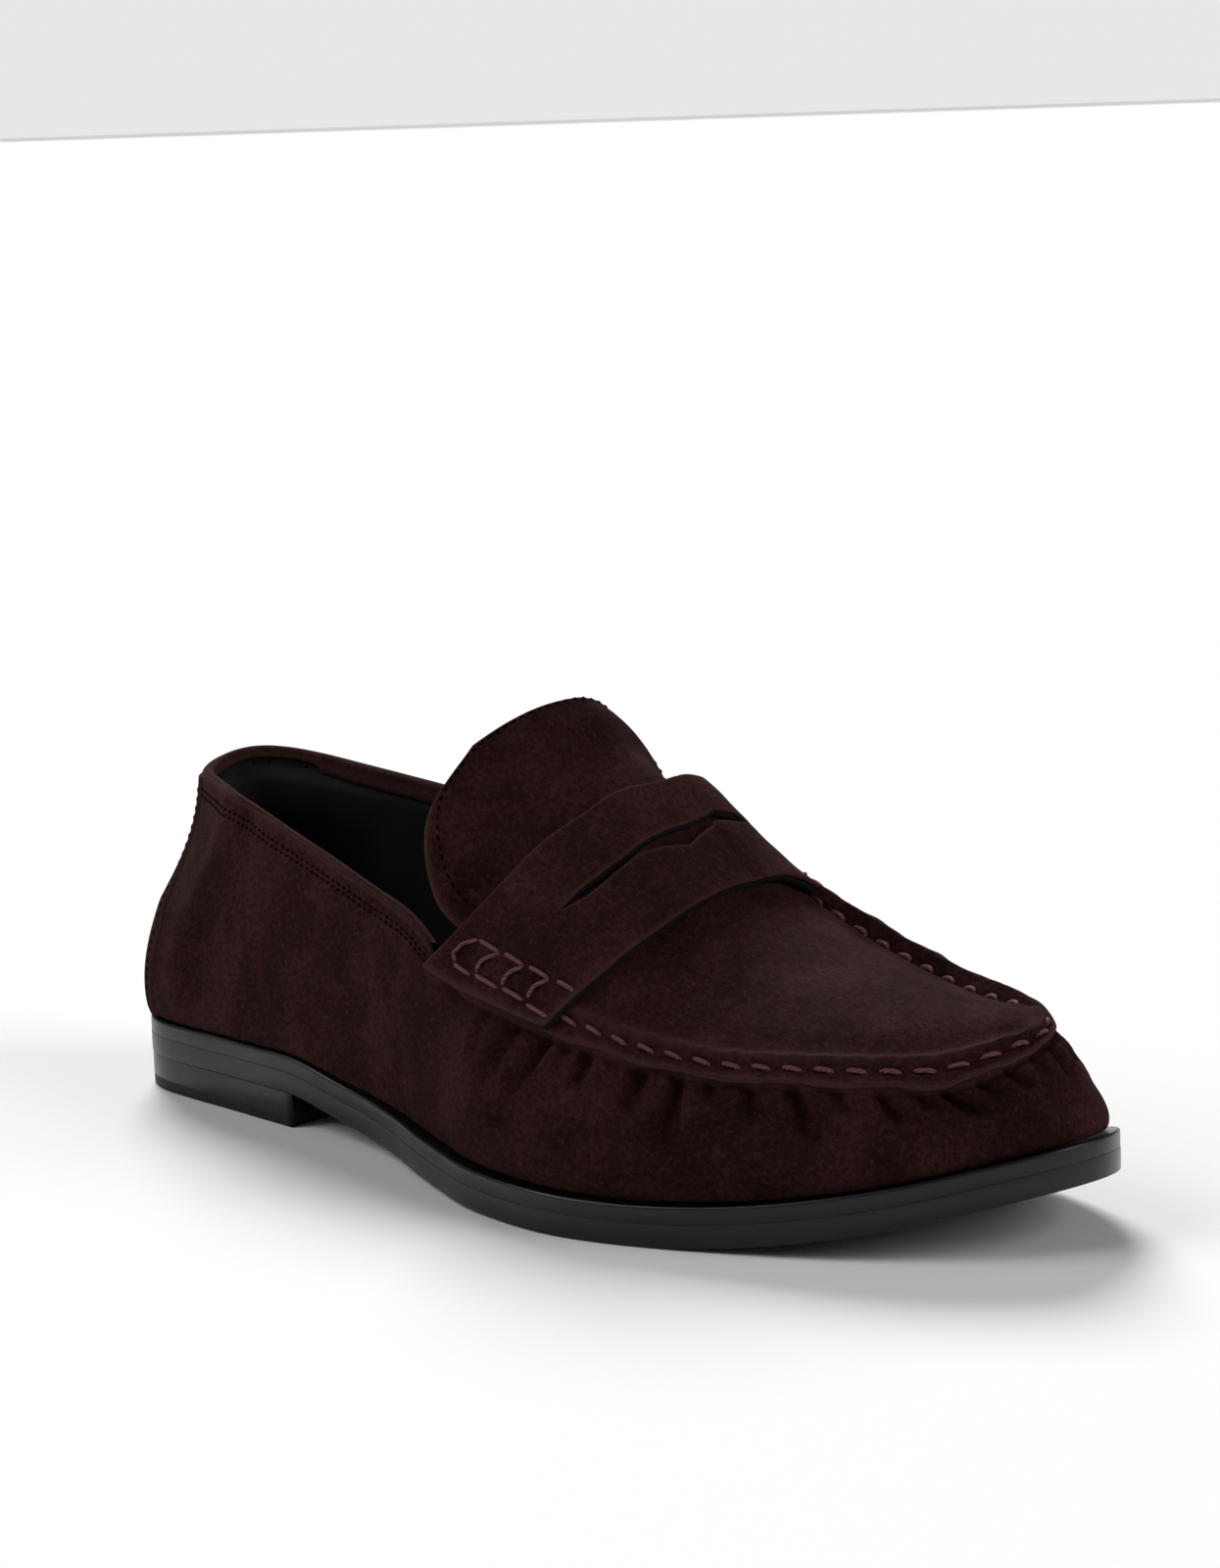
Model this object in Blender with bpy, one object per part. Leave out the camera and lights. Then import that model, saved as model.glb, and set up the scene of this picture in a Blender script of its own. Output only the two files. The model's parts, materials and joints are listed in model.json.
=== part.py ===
"""Penny loafer for the right foot: each object is one separate piece of the shoe."""
import math

import bmesh
import bpy
import numpy as np

MM = 0.001
HALF_LENGTH = 148.8
GAP = 0.35

# Sole stack, in millimetres.
OUTSOLE_THICK = 5.2
WELT_THICK = 3.95
SOLE_THICK = OUTSOLE_THICK + GAP + WELT_THICK
HEEL_LENGTH = 76.0
TOP_LIFT_THICK = 3.0
HEEL_TOP = 9.0
WELT_REAR = 1.4
WELT_FRONT = 3.6
WELT_RING = 10.5
BOARD_THICK = 2.0
SOCK_THICK = 1.2
PAD_THICK = 1.6

# Upper stack, as depths below the outer face of the wall.
WALL_THICK = 1.5
STIFF_OUT = 1.95
STIFF_IN = 2.8
LINING_OUT = 3.1
LINING_IN = 4.0
COLLAR_DROP = 2.7
COLLAR_PAD = 2.2
APRON_THICK = 1.6
STRAP_LOW = 1.3
STRAP_HIGH = 3.1
UNDERLAY_LOW = 0.4
UNDERLAY_HIGH = 0.95
TONGUE_THICK = 1.5
BACKSTAY_OUT = 1.1
BACKSTAY_TOP = 1.9
BACKSTAY_BASE = 2.8
TONGUE_LINING_THICK = 0.9

THREAD_RADIUS = 0.45
FINE_THREAD_RADIUS = 0.25

# Height of the underside of the sole by distance from the back of the heel.
SOLE_LINE = ((0, 9.0), (62, 9.0), (76, 8.9), (100, 4.9), (130, 1.9), (160, 0.8), (190, 0.3),
             (215, 0.0), (240, 1.5), (270, 6.7), (300, 15.0))

# One row per station round the shoe, from the back of the heel past the outer side to the
# toe and home along the inner side: sole edge (a, x), then top edge of the upper (a, x, z).
# a is the distance from the back of the heel and x is positive towards the inner side.
ROWS = (
    (0.0, 9.5, 8.5, 13.5, 82.3), (2.0, -1.0, 11.5, 6.5, 81.6), (6.5, -10.5, 18.0, -0.2, 81.4),
    (16.0, -16.5, 28.5, -6.3, 81.0), (30.0, -19.0, 41.5, -11.0, 80.0),
    (48.0, -20.5, 57.0, -15.5, 78.0), (66.0, -22.3, 75.0, -19.3, 74.0),
    (84.0, -24.0, 93.0, -22.6, 69.8), (104.0, -26.0, 111.0, -25.6, 65.0),
    (122.0, -30.8, 127.0, -28.5, 61.0), (138.0, -37.5, 140.0, -32.0, 55.0),
    (152.0, -43.3, 153.0, -35.0, 47.0), (166.0, -48.5, 167.0, -37.3, 44.6),
    (182.0, -51.4, 182.0, -37.3, 41.6), (196.0, -52.0, 195.0, -36.4, 39.5),
    (210.0, -49.6, 208.0, -35.4, 37.7), (224.0, -45.2, 221.0, -33.4, 36.6),
    (238.0, -39.6, 233.0, -30.8, 35.8), (252.0, -33.3, 246.0, -27.0, 36.2),
    (265.0, -26.6, 258.0, -22.8, 36.5), (277.0, -18.4, 268.0, -16.8, 36.3),
    (287.0, -8.6, 276.5, -9.5, 36.1), (295.0, 2.0, 283.0, -2.0, 38.3),
    (299.3, 12.0, 286.5, 6.0, 41.3), (299.5, 22.0, 287.0, 14.0, 43.5),
    (295.0, 32.0, 285.0, 19.5, 44.2), (287.0, 40.0, 280.5, 23.5, 44.5),
    (275.0, 46.0, 271.0, 27.0, 44.4), (260.0, 49.8, 257.0, 30.0, 45.0),
    (243.0, 51.8, 242.0, 32.5, 48.0), (225.0, 52.3, 226.0, 34.0, 52.3),
    (207.0, 51.0, 208.0, 34.5, 58.3), (190.0, 48.0, 190.0, 35.3, 62.5),
    (172.0, 43.8, 170.0, 36.0, 66.0), (154.0, 40.5, 153.0, 36.5, 69.0),
    (137.0, 38.5, 138.0, 38.0, 71.5), (118.0, 37.5, 120.0, 38.0, 72.5),
    (98.0, 38.0, 100.0, 37.5, 74.5), (78.0, 39.3, 80.0, 37.0, 77.0),
    (60.0, 40.0, 60.0, 36.5, 79.0), (43.0, 39.8, 44.0, 36.0, 80.5),
    (28.0, 38.0, 30.0, 35.0, 82.0), (15.0, 33.5, 20.0, 31.8, 83.2),
    (6.0, 26.0, 13.0, 26.5, 83.8), (1.2, 18.0, 9.0, 20.3, 83.3))
ROW_NEAR_STRAP = 10
ROW_TOE = 24
ROW_FAR_STRAP = 35

# Edge of the apron, from the outer strap end round the toe to the inner strap end.
LIP = ((141, -35, 52), (153, -37, 49.2), (168, -39, 46.8), (182, -39, 44), (195, -38.2, 42),
       (208, -37.2, 40.2), (221, -35.2, 39), (233, -32.6, 38.3), (246, -28.8, 38.7),
       (258, -24.4, 39), (269, -18.2, 38.8), (278, -10.5, 38.8), (284.5, -2.8, 41),
       (288.3, 6, 44), (289, 14.5, 46), (286.5, 21, 46.8), (281.5, 25.3, 47), (272, 29, 47),
       (257.5, 32, 47.7), (242, 34.5, 50.6), (226, 36, 54.8), (208, 36.4, 60.8),
       (190, 37, 65), (170, 37.7, 68.5), (153, 38.3, 71.5), (141, 39, 73))
LIP_TOE = 14
# Height of the crest of the instep, and how the crest runs sideways.
CREST = ((141, 108.5), (150, 107), (160, 102.5), (170, 96), (177, 91), (185, 83.5), (193, 76),
         (201, 69.5), (210, 64.5), (225, 59), (240, 55.5), (255, 53), (268, 51.3), (280, 50))
CREST_X = 15.0
SPINE_SHRINK = 0.86
NEAR_POWER = 1.7
FAR_POWER = 2.0

# Rear and front edges of the strap by share of the way from the crest to the apron edge.
STRAP_NEAR = ((0, 175.9, 201), (0.1, 175.8, 200.9), (0.29, 171.4, 200.4), (0.44, 168.6, 199.4),
              (0.56, 164.7, 198.4), (0.7, 160.0, 195.8), (0.8, 155.6, 193.6), (0.9, 149.8, 190.2),
              (1.0, 143.2, 186.3))
STRAP_FAR = ((0, 175.9, 201), (0.3, 176, 202), (0.6, 172, 203), (0.8, 168, 203.5), (1.0, 163, 204))
# Rear and front edges of the coin slot: place across the strap, then share of its width.
SLOT_REAR = ((-0.71, 0.48), (-0.63, 0.462), (-0.55, 0.468), (-0.47, 0.456), (-0.36, 0.438),
             (-0.27, 0.43), (-0.15, 0.397), (-0.04, 0.37), (0.15, 0.337), (0.43, 0.369),
             (0.56, 0.425), (0.61, 0.49))
SLOT_FRONT = ((-0.71, 0.48), (-0.63, 0.528), (-0.56, 0.525), (-0.49, 0.508), (-0.39, 0.484),
              (-0.33, 0.513), (-0.26, 0.548), (-0.19, 0.572), (-0.12, 0.511), (-0.06, 0.472),
              (0.06, 0.424), (0.29, 0.455), (0.61, 0.49))
# Tongue control rows: outer edge (a, x), crest a, inner edge (a, x), then the three heights
# where the tongue stands clear of the instep.
TONGUE_ROWS = (
    (186.0, -17.0, 189.0, 190.0, 29.0, None), (172.0, -23.0, 180.0, 180.0, 31.0, None),
    (160.0, -27.0, 170.0, 170.0, 32.0, None), (149.5, -29.5, 160.0, 162.0, 33.0, None),
    (140.5, -31.0, 152.5, 156.0, 34.0, (69.0, 106.5, 87.0)),
    (135.5, -27.0, 148.5, 151.0, 30.0, (86.5, 109.6, 96.5)),
    (137.5, -13.0, 147.0, 148.0, 21.5, (102.0, 110.8, 107.0)))
TONGUE_SINK = 4.2


def smooth(points, where, column=1):
    """Smooth curve through a table, read at one or many places."""
    table = np.array(points, float)
    x = table[:, 0]
    y = table[:, column]
    slope = np.gradient(y, x)
    where = np.clip(np.asarray(where, float), x[0], x[-1])
    i = np.clip(np.searchsorted(x, where, side="right") - 1, 0, len(x) - 2)
    width = x[i + 1] - x[i]
    t = (where - x[i]) / width
    return (y[i] * (2 * t**3 - 3 * t**2 + 1) + y[i + 1] * (3 * t**2 - 2 * t**3)
            + width * (slope[i] * (t**3 - 2 * t**2 + t) + slope[i + 1] * (t**3 - t**2)))


def catmull(table, where, closed):
    """Catmull-Rom curve through table rows at row numbers given in where."""
    table = np.asarray(table, float)
    count = len(table)
    where = np.asarray(where, float)
    i = np.floor(where).astype(int)
    if not closed:
        i = np.clip(i, 0, count - 2)
    t = (where - i)[..., None]
    pick = [(i + k) % count if closed else np.clip(i + k, 0, count - 1) for k in (-1, 0, 1, 2)]
    a, b, c, d = (table[k] for k in pick)
    return 0.5 * (2 * b + (c - a) * t + (2 * a - 5 * b + 4 * c - d) * t**2
                  + (3 * b - a - 3 * c + d) * t**3)


def ramp(x, low, high):
    t = np.clip((np.asarray(x, float) - low) / (high - low), 0, 1)
    return t * t * (3 - 2 * t)


def sole_z(a):
    return np.maximum(smooth(SOLE_LINE, a), 0.0)


def welt_width(a):
    return WELT_REAR + (WELT_FRONT - WELT_REAR) * ramp(a, 80, 150)


def outline(where, inset=0.0):
    """Sole edge (a, x) at row numbers, moved inwards by inset."""
    step = 0.02
    here = catmull(ROWS, where, True)[..., :2]
    run = catmull(ROWS, np.asarray(where) + step, True)[..., :2]
    run = run - catmull(ROWS, np.asarray(where) - step, True)[..., :2]
    out = np.stack([run[..., 1], -run[..., 0]], -1)
    out /= np.linalg.norm(out, axis=-1, keepdims=True)
    return here - out * np.asarray(inset)[..., None], out


def feather(where):
    here, _ = outline(where)
    return outline(where, welt_width(here[..., 0]))


def heel_swell(a, v):
    """Extra fullness low on the back of the heel and hollow above it."""
    cross = 0.47
    low = 0.9 * np.sin(np.pi * np.clip(v / cross, 0, 1))
    high = 3.5 * np.sin(np.pi * np.clip((v - cross) / 0.6, 0, 1))
    return (low - high) * (1 - ramp(a, 14, 44))


def wall(where, v):
    """Outer face of the upper at row numbers and height shares, as (a, x, z)."""
    where, v = np.broadcast_arrays(np.asarray(where, float), np.asarray(v, float))
    base, out = feather(where)
    rows = catmull(ROWS, where, True)
    top = rows[..., 2:4]
    low_z = sole_z(base[..., 0]) + SOLE_THICK + GAP
    front = ramp(rows[..., 0], 120, 200)
    toe = ramp(rows[..., 0], 255, 290)
    lean = v ** (1.2 + 0.45 * ramp(rows[..., 0], 20, 70) + 0.5 * front - 0.5 * toe)
    bulge = (2.7 + 1.8 * front - 2.6 * toe) * np.sin(np.pi * np.clip(v, 0, 1) ** 0.58)
    bulge = bulge + heel_swell(rows[..., 0], v)
    flat = base + (top - base) * lean[..., None] + out * bulge[..., None]
    z = low_z + (rows[..., 4] - low_z) * v
    return np.concatenate([flat, z[..., None]], -1)


def wall_at(where, v, depth):
    """The wall surface moved inwards by depth."""
    where, v, depth = np.broadcast_arrays(np.asarray(where, float), np.asarray(v, float),
                                          np.asarray(depth, float))
    du = wall(where + 0.03, v) - wall(where - 0.03, v)
    dv = wall(where, v + 0.02) - wall(where, np.maximum(v - 0.02, 0))
    normal = np.cross(du, dv)
    normal /= np.linalg.norm(normal, axis=-1, keepdims=True)
    side = np.sign((normal[..., :2] * feather(where)[1]).sum(-1))[..., None]
    return wall(where, v) - normal * side * depth[..., None]


def lip(k):
    return catmull(LIP, k, False)


def lip_row(a, near):
    """Row number of the apron edge at distance a on one side."""
    rows = np.linspace(0, LIP_TOE, 400) if near else np.linspace(len(LIP) - 1, LIP_TOE, 400)
    return np.interp(a, lip(rows)[:, 0], rows)


def instep(k, r):
    """Instep surface: k runs along the apron edge and r from the crest (0) to the edge (1)."""
    k, r = np.broadcast_arrays(np.asarray(k, float), np.asarray(r, float))
    edge = lip(k)
    spine_a = LIP[0][0] + (edge[..., 0] - LIP[0][0]) * SPINE_SHRINK
    power = np.where(k <= LIP_TOE, NEAR_POWER, FAR_POWER)
    power = power + (2.4 - power) * ramp(edge[..., 0], 215, 285)
    crest_z = smooth(CREST, spine_a)
    a = spine_a * (1 - r) + edge[..., 0] * r
    x = (CREST_X - 2.5 * ramp(spine_a, 210, 268)) * (1 - r) + edge[..., 1] * r
    z = edge[..., 2] + (crest_z - edge[..., 2]) * (1 - r**power)
    return np.stack([a, x, z], -1)


def instep_at(a, q, height):
    """Point over the instep at distance a; q is -1 at the outer edge, 0 at the crest, 1 inner."""
    a, q, height = np.broadcast_arrays(np.asarray(a, float), np.asarray(q, float),
                                       np.asarray(height, float))

    def point(a, q):
        r = np.abs(q)
        start = LIP[0][0]
        share = SPINE_SHRINK + (1 - SPINE_SHRINK) * r
        edge_a = start + (a - start) / share
        k = np.where(q <= 0, lip_row(edge_a, True), lip_row(edge_a, False))
        return instep(k, r)

    across = point(a, np.clip(q + 0.02, -1, 1)) - point(a, np.clip(q - 0.02, -1, 1))
    along = point(a + 0.5, q) - point(a - 0.5, q)
    normal = np.cross(across, along)
    normal /= np.linalg.norm(normal, axis=-1, keepdims=True)
    normal *= np.sign(normal[..., 2:3])
    return point(a, q) + normal * height[..., None]


def world(points):
    points = np.asarray(points, float)
    return np.stack([points[..., 1], HALF_LENGTH - points[..., 0], points[..., 2]], -1) * MM


def add(name, verts, faces, material):
    mesh = bpy.data.meshes.new(name)
    mesh.from_pydata([tuple(v) for v in verts], [], faces)
    bm = bmesh.new()
    bm.from_mesh(mesh)
    bmesh.ops.remove_doubles(bm, verts=bm.verts, dist=1e-6)
    bmesh.ops.triangulate(bm, faces=bm.faces)
    bmesh.ops.recalc_face_normals(bm, faces=bm.faces)
    bm.to_mesh(mesh)
    bm.free()
    mesh.materials.append(material)
    obj = bpy.data.objects.new(name, mesh)
    bpy.context.scene.collection.objects.link(obj)
    return obj


def slab(name, upper, lower, material, keep=None, wrap=False):
    """Closed solid between two matching grids of points; keep leaves cells out."""
    upper = world(upper)
    lower = world(lower)
    rows, cols = upper.shape[:2]
    pairs = np.concatenate([upper.reshape(-1, 3), lower.reshape(-1, 3)], 1)
    _, first, merged = np.unique(np.round(pairs, 6), axis=0, return_index=True, return_inverse=True)
    merged = merged.reshape(-1)
    total = len(first)
    faces = []
    edges = set()
    for i in range(rows if wrap else rows - 1):
        for j in range(cols - 1):
            if keep is not None and not keep[i, j]:
                continue
            n = (i + 1) % rows
            ring = [i * cols + j, n * cols + j, n * cols + j + 1, i * cols + j + 1]
            ring = list(dict.fromkeys(int(merged[k]) for k in ring))
            if len(ring) < 3:
                continue
            faces.append(ring)
            faces.append([total + k for k in reversed(ring)])
            edges.update(zip(ring, ring[1:] + ring[:1]))
    for p, q in sorted(edges):
        if (q, p) not in edges:
            faces.append([q, p, total + p, total + q])
    verts = np.concatenate([pairs[first, :3], pairs[first, 3:]])
    used = sorted({k for f in faces for k in f})
    index = {k: n for n, k in enumerate(used)}
    return add(name, verts[used], [tuple(index[k] for k in f) for f in faces], material)


def tube(name, path, radius, sides, material, closed=False):
    """Round cord along a path of (a, x, z) points."""
    path = world(path)
    count = len(path)
    ends = np.roll(path, -1, 0) - np.roll(path, 1, 0)
    if not closed:
        ends[0] = path[1] - path[0]
        ends[-1] = path[-1] - path[-2]
    ends /= np.linalg.norm(ends, axis=1, keepdims=True)
    up = np.array([0.0, 0.0, 1.0])
    side = np.cross(ends, up)
    side /= np.linalg.norm(side, axis=1, keepdims=True)
    over = np.cross(side, ends)
    verts = []
    for n in range(count):
        for k in range(sides):
            turn = 2 * math.pi * (k + 0.5) / sides
            spoke = math.cos(turn) * side[n] + math.sin(turn) * over[n]
            verts.append(path[n] + radius * MM * spoke)
    faces = []
    for n in range(count if closed else count - 1):
        m = (n + 1) % count
        for k in range(sides):
            j = (k + 1) % sides
            faces.append((n * sides + k, n * sides + j, m * sides + j, m * sides + k))
    if not closed:
        faces.append(tuple(range(sides))[::-1])
        faces.append(tuple((count - 1) * sides + k for k in range(sides)))
    return add(name, verts, faces, material)


def material(name, colour, roughness, metallic=0.0):
    made = bpy.data.materials.new(name)
    made.use_nodes = True
    shader = made.node_tree.nodes["Principled BSDF"]
    shader.inputs["Base Color"].default_value = (*colour, 1.0)
    shader.inputs["Roughness"].default_value = roughness
    shader.inputs["Metallic"].default_value = metallic
    made.diffuse_color = (*colour, 1.0)
    return made


def side_edges(inset, stations):
    """Outer and inner x of the inset sole outline at each distance from the heel."""
    near_rows = np.linspace(0, ROW_TOE, 500)
    far_rows = np.linspace(len(ROWS), ROW_TOE, 500)
    sides = []
    for rows in (near_rows, far_rows):
        depth = inset(outline(rows)[0][:, 0]) if callable(inset) else np.full(len(rows), inset)
        edge, _ = outline(rows, depth)
        order = np.argsort(edge[:, 0])
        sides.append(np.interp(stations, edge[order, 0], edge[order, 1]))
    return sides


def plate(name, inset, first, last, low, high, made, count=36, across=7):
    """Plate inside the sole outline between two distances from the heel."""
    if first < 8 and last > 280:
        share = (1 - np.cos(np.linspace(0, np.pi, count))) / 2
    elif first < 8:
        share = 1 - np.cos(np.linspace(0, np.pi / 2, count))
    elif last > 260:
        share = np.sin(np.linspace(0, np.pi / 2, count))
    else:
        share = np.linspace(0, 1, count)
    stations = first + (last - first) * share
    near, far = side_edges(inset, stations)
    mix = np.linspace(0, 1, across)
    x = near[:, None] * (1 - mix) + far[:, None] * mix
    a = np.broadcast_to(stations[:, None], x.shape)
    upper = np.stack([a, x, high(a)], -1)
    lower = np.stack([a, x, low(a)], -1)
    return slab(name, upper, lower, made)


def sole_parts(mats):
    def outsole_top(a):
        return sole_z(a) + OUTSOLE_THICK

    plate("outsole", 0.0, 0.15, 299.5, sole_z, outsole_top, mats["sole_black"], 40, 5)
    rows = np.linspace(0, len(ROWS), 91)[:-1]
    outer, _ = outline(rows, 0.35)
    inner, _ = outline(rows, WELT_RING)
    ring = np.stack([outer, inner], 1)
    low = sole_z(ring[..., 0]) + OUTSOLE_THICK + GAP
    base = np.concatenate([ring, low[..., None]], -1)
    top = np.concatenate([ring, (low + WELT_THICK)[..., None]], -1)
    slab("welt", top, base, mats["sole_black"], wrap=True)
    heel = plate("heel_block", 0.6, 0.8, HEEL_LENGTH, lambda a: a * 0 + TOP_LIFT_THICK + GAP,
                 lambda a: a * 0 + HEEL_TOP - GAP, mats["heel_black"], 18, 7)
    plate("heel_top_lift", 0.8, 1.0, HEEL_LENGTH - 0.2, lambda a: a * 0,
          lambda a: a * 0 + TOP_LIFT_THICK, mats["rubber_black"], 18, 7)
    nails = ((14, 9), (30, -8), (30, 27), (58, -10), (58, 29))
    for n, (a, x) in enumerate(nails):
        cutter = pin(f"cut_nail_{n}", a, x, 1.35, 0.0, 12.0, mats["steel"])
        cutter.hide_render = True
        cutter.display_type = "WIRE"
        cut = heel.modifiers.new(f"nail_{n}", "BOOLEAN")
        cut.operation = "DIFFERENCE"
        cut.solver = "EXACT"
        cut.object = cutter
        pin(f"heel_nail_{n + 1}", a, x, 1.0, TOP_LIFT_THICK + 0.5, HEEL_TOP - 0.5, mats["steel"])


def pin(name, a, x, radius, low, high, made):
    verts = []
    for z in (low, high):
        for k in range(10):
            turn = math.tau * k / 10
            verts.append((a + radius * math.cos(turn), x + radius * math.sin(turn), z))
    faces = [(k, (k + 1) % 10, 10 + (k + 1) % 10, 10 + k) for k in range(10)]
    faces += [tuple(range(10))[::-1], tuple(range(10, 20))]
    return add(name, world(verts), faces, made)


def inner_sole(mats):
    def level(extra):
        return lambda a: sole_z(a) + SOLE_THICK + extra

    def core(extra):
        return lambda a: sole_z(a) + OUTSOLE_THICK + extra

    plate("filler", WELT_RING + 0.6, 139.0, 287.5, core(GAP), core(3.6), mats["cork"], 20, 5)
    plate("seat_filler", WELT_RING + 0.6, 11.4, 40.0, core(GAP), core(3.6), mats["cork"], 12, 5)
    shank(mats)
    edge = LINING_IN + 0.9
    plate("insole_board", lambda a: welt_width(a) + edge, 6.9, 290.0, level(GAP),
          level(GAP + BOARD_THICK), mats["board"], 34, 5)
    sock = GAP * 2 + BOARD_THICK
    plate("sock_lining", lambda a: welt_width(a) + edge + 0.2, 7.1, 289.7, level(sock),
          level(sock + SOCK_THICK), mats["lining_black"], 34, 5)
    pad = sock + SOCK_THICK + GAP
    plate("heel_pad", lambda a: welt_width(a) + edge + 3.5, 10.5, 66.0, level(pad),
          level(pad + PAD_THICK), mats["lining_black"], 14, 5)


def shank(mats):
    stations = np.linspace(45, 134, 14)
    x = np.stack([9 - 7.5 + stations * 0, 9 + 7.5 + stations * 0], 1) - (stations[:, None] - 45) * 0.06
    a = np.broadcast_to(stations[:, None], x.shape)
    z = sole_z(a) + OUTSOLE_THICK + 1.2
    slab("shank", np.stack([a, x, z + 1.2], -1), np.stack([a, x, z], -1),
         mats["steel"])


def collar_share(rows):
    """Share of the wall height where the collar begins, over the open part of the topline."""
    spot = wall(rows, 1.0)
    base = wall(rows, 0.0)
    return 1 - COLLAR_DROP / (spot[..., 2] - base[..., 2])


def layer(name, rows, low, high, outer, inner, made, steps=9):
    """Wall layer whose lower and upper shares change along the rows."""
    share = np.linspace(0, 1, steps)
    low = np.broadcast_to(np.asarray(low, float), rows.shape)
    high = np.broadcast_to(np.asarray(high, float), rows.shape)
    v = low[:, None] * (1 - share) + high[:, None] * share
    where = np.broadcast_to(rows[:, None], v.shape)
    return slab(name, wall_at(where, v, outer(where, v)), wall_at(where, v, inner(where, v)), made)


def flat(depth):
    return lambda where, v: np.full(np.shape(v), float(depth))


def wall_top(rows):
    """Upper edge of the wall: under the collar at the back and under the apron in front."""
    open_part = 1 - ramp(rows, ROW_NEAR_STRAP - 0.2, ROW_NEAR_STRAP + 0.8)
    open_part = open_part + ramp(rows, ROW_FAR_STRAP - 0.8, ROW_FAR_STRAP + 0.2)
    return collar_share(rows) * open_part + 1.0 * (1 - open_part)


def upper_parts(mats):
    far_seam = ROW_FAR_STRAP + 2.0
    rows = np.linspace(0.0, far_seam - 0.06, 64)
    layer("vamp", rows, 0.0, wall_top(rows), flat(0), flat(WALL_THICK), mats["suede"], 7)
    rows = np.linspace(far_seam + 0.06, len(ROWS) - 0.12, 22)
    layer("inner_quarter", rows, 0.0, wall_top(rows), flat(0), flat(WALL_THICK), mats["suede"], 8)
    rows = np.linspace(-5.4, 5.2, 26)
    layer("heel_counter", rows, 0.0, 0.72, flat(STIFF_OUT), flat(STIFF_IN), mats["fibre"], 6)
    rows = np.linspace(20.2, 27.8, 18)
    layer("toe_puff", rows, 0.0, 0.72, flat(STIFF_OUT), flat(STIFF_IN), mats["fibre"], 5)

    def padding(where, v):
        turn = (where + len(ROWS) / 2) % len(ROWS) - len(ROWS) / 2
        along = 1 - ramp(np.abs(turn), 3.0, 5.0)
        return along * ramp(v, 0.74, 0.84) * (1 - 0.5 * ramp(v, 0.88, 0.96))

    def pad_in(where, v):
        return STIFF_IN + 0.74 * COLLAR_PAD * padding(where, v)

    def lining(extra):
        return lambda where, v: extra + COLLAR_PAD * padding(where, v)

    rows = np.linspace(-4.9, 4.9, 26)
    layer("collar_pad", rows, 0.75, collar_share(rows) - 0.005, flat(STIFF_OUT), pad_in,
          mats["foam"], 5)
    rows = np.linspace(ROW_FAR_STRAP + 0.1 - len(ROWS), ROW_NEAR_STRAP - 0.1, 38)
    layer("quarter_lining", rows, 0.0, collar_share(rows), lining(LINING_OUT), lining(LINING_IN),
          mats["lining_black"], 8)
    rows = np.linspace(ROW_NEAR_STRAP + 0.1, ROW_FAR_STRAP - 0.1, 42)
    layer("vamp_lining", rows, 0.0, 0.9, flat(LINING_OUT), flat(LINING_IN), mats["lining_tan"], 6)
    collar(mats, lining)
    backstay(mats)


def collar(mats, lining):
    """Folded edge that closes the top of wall, padding and lining."""
    rows = np.linspace(ROW_FAR_STRAP + 0.15 - len(ROWS), ROW_NEAR_STRAP - 0.15, 40)
    low = collar_share(rows)[:, None] + 0.35 / 60
    where = np.broadcast_to(rows[:, None], (len(rows), 5))
    span = lining(LINING_IN)(rows[:, None], low)
    depth = span * np.linspace(0, 1, 5)
    arc = np.sqrt(np.clip(1 - (2 * np.linspace(0, 1, 5) - 1) ** 2, 0, 1))
    floor_points = wall_at(where, np.broadcast_to(low, where.shape), depth)
    top = floor_points.copy()
    top[..., 2] += 1.0 + 1.5 * arc
    slab("collar_binding", top, floor_points, mats["suede"])


def backstay_rows(v):
    """Half width of the heel piece, in rows, at a height share: narrow at the top."""
    return BACKSTAY_TOP + (BACKSTAY_BASE - BACKSTAY_TOP) * (1 - ramp(v, 0.35, 0.85))


def backstay(mats):
    top = float(collar_share(0.0))
    v = np.linspace(0.02, top, 10)[None, :]
    where = backstay_rows(v) * np.linspace(-1, 1, 15)[:, None]
    v = np.minimum(np.broadcast_to(v, where.shape), collar_share(where))
    slab("backstay", wall_at(where, v, -BACKSTAY_OUT), wall_at(where, v, -GAP), mats["suede"])


def across_instep(near_k, r, height):
    """Instep grid from the outer apron edge over the crest to the inner edge."""
    a = lip(near_k)[:, 0]
    far_k = lip_row(a, False)
    far_k[near_k >= LIP_TOE] = LIP_TOE
    near = surface_grid(near_k, r, height)[:, ::-1]
    far = surface_grid(far_k, r, height)[:, 1:]
    return np.concatenate([near, far], 1)


def apron(mats):
    near_k = np.concatenate([np.linspace(3.2, 11.0, 16), np.linspace(11.6, LIP_TOE, 8)])
    r = np.array([0.0, 0.2, 0.4, 0.6, 0.75, 0.88, 0.95, 1.0])
    slab("apron", across_instep(near_k, r, 0.0), across_instep(near_k, r, -APRON_THICK),
         mats["suede"])
    near_k = np.linspace(5.2, 12.4, 15)
    r = np.array([0.0, 0.2, 0.4, 0.6, 0.74])
    slab("apron_lining", across_instep(near_k, r, -APRON_THICK - 0.5),
         across_instep(near_k, r, -APRON_THICK - 1.4), mats["lining_tan"])


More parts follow.
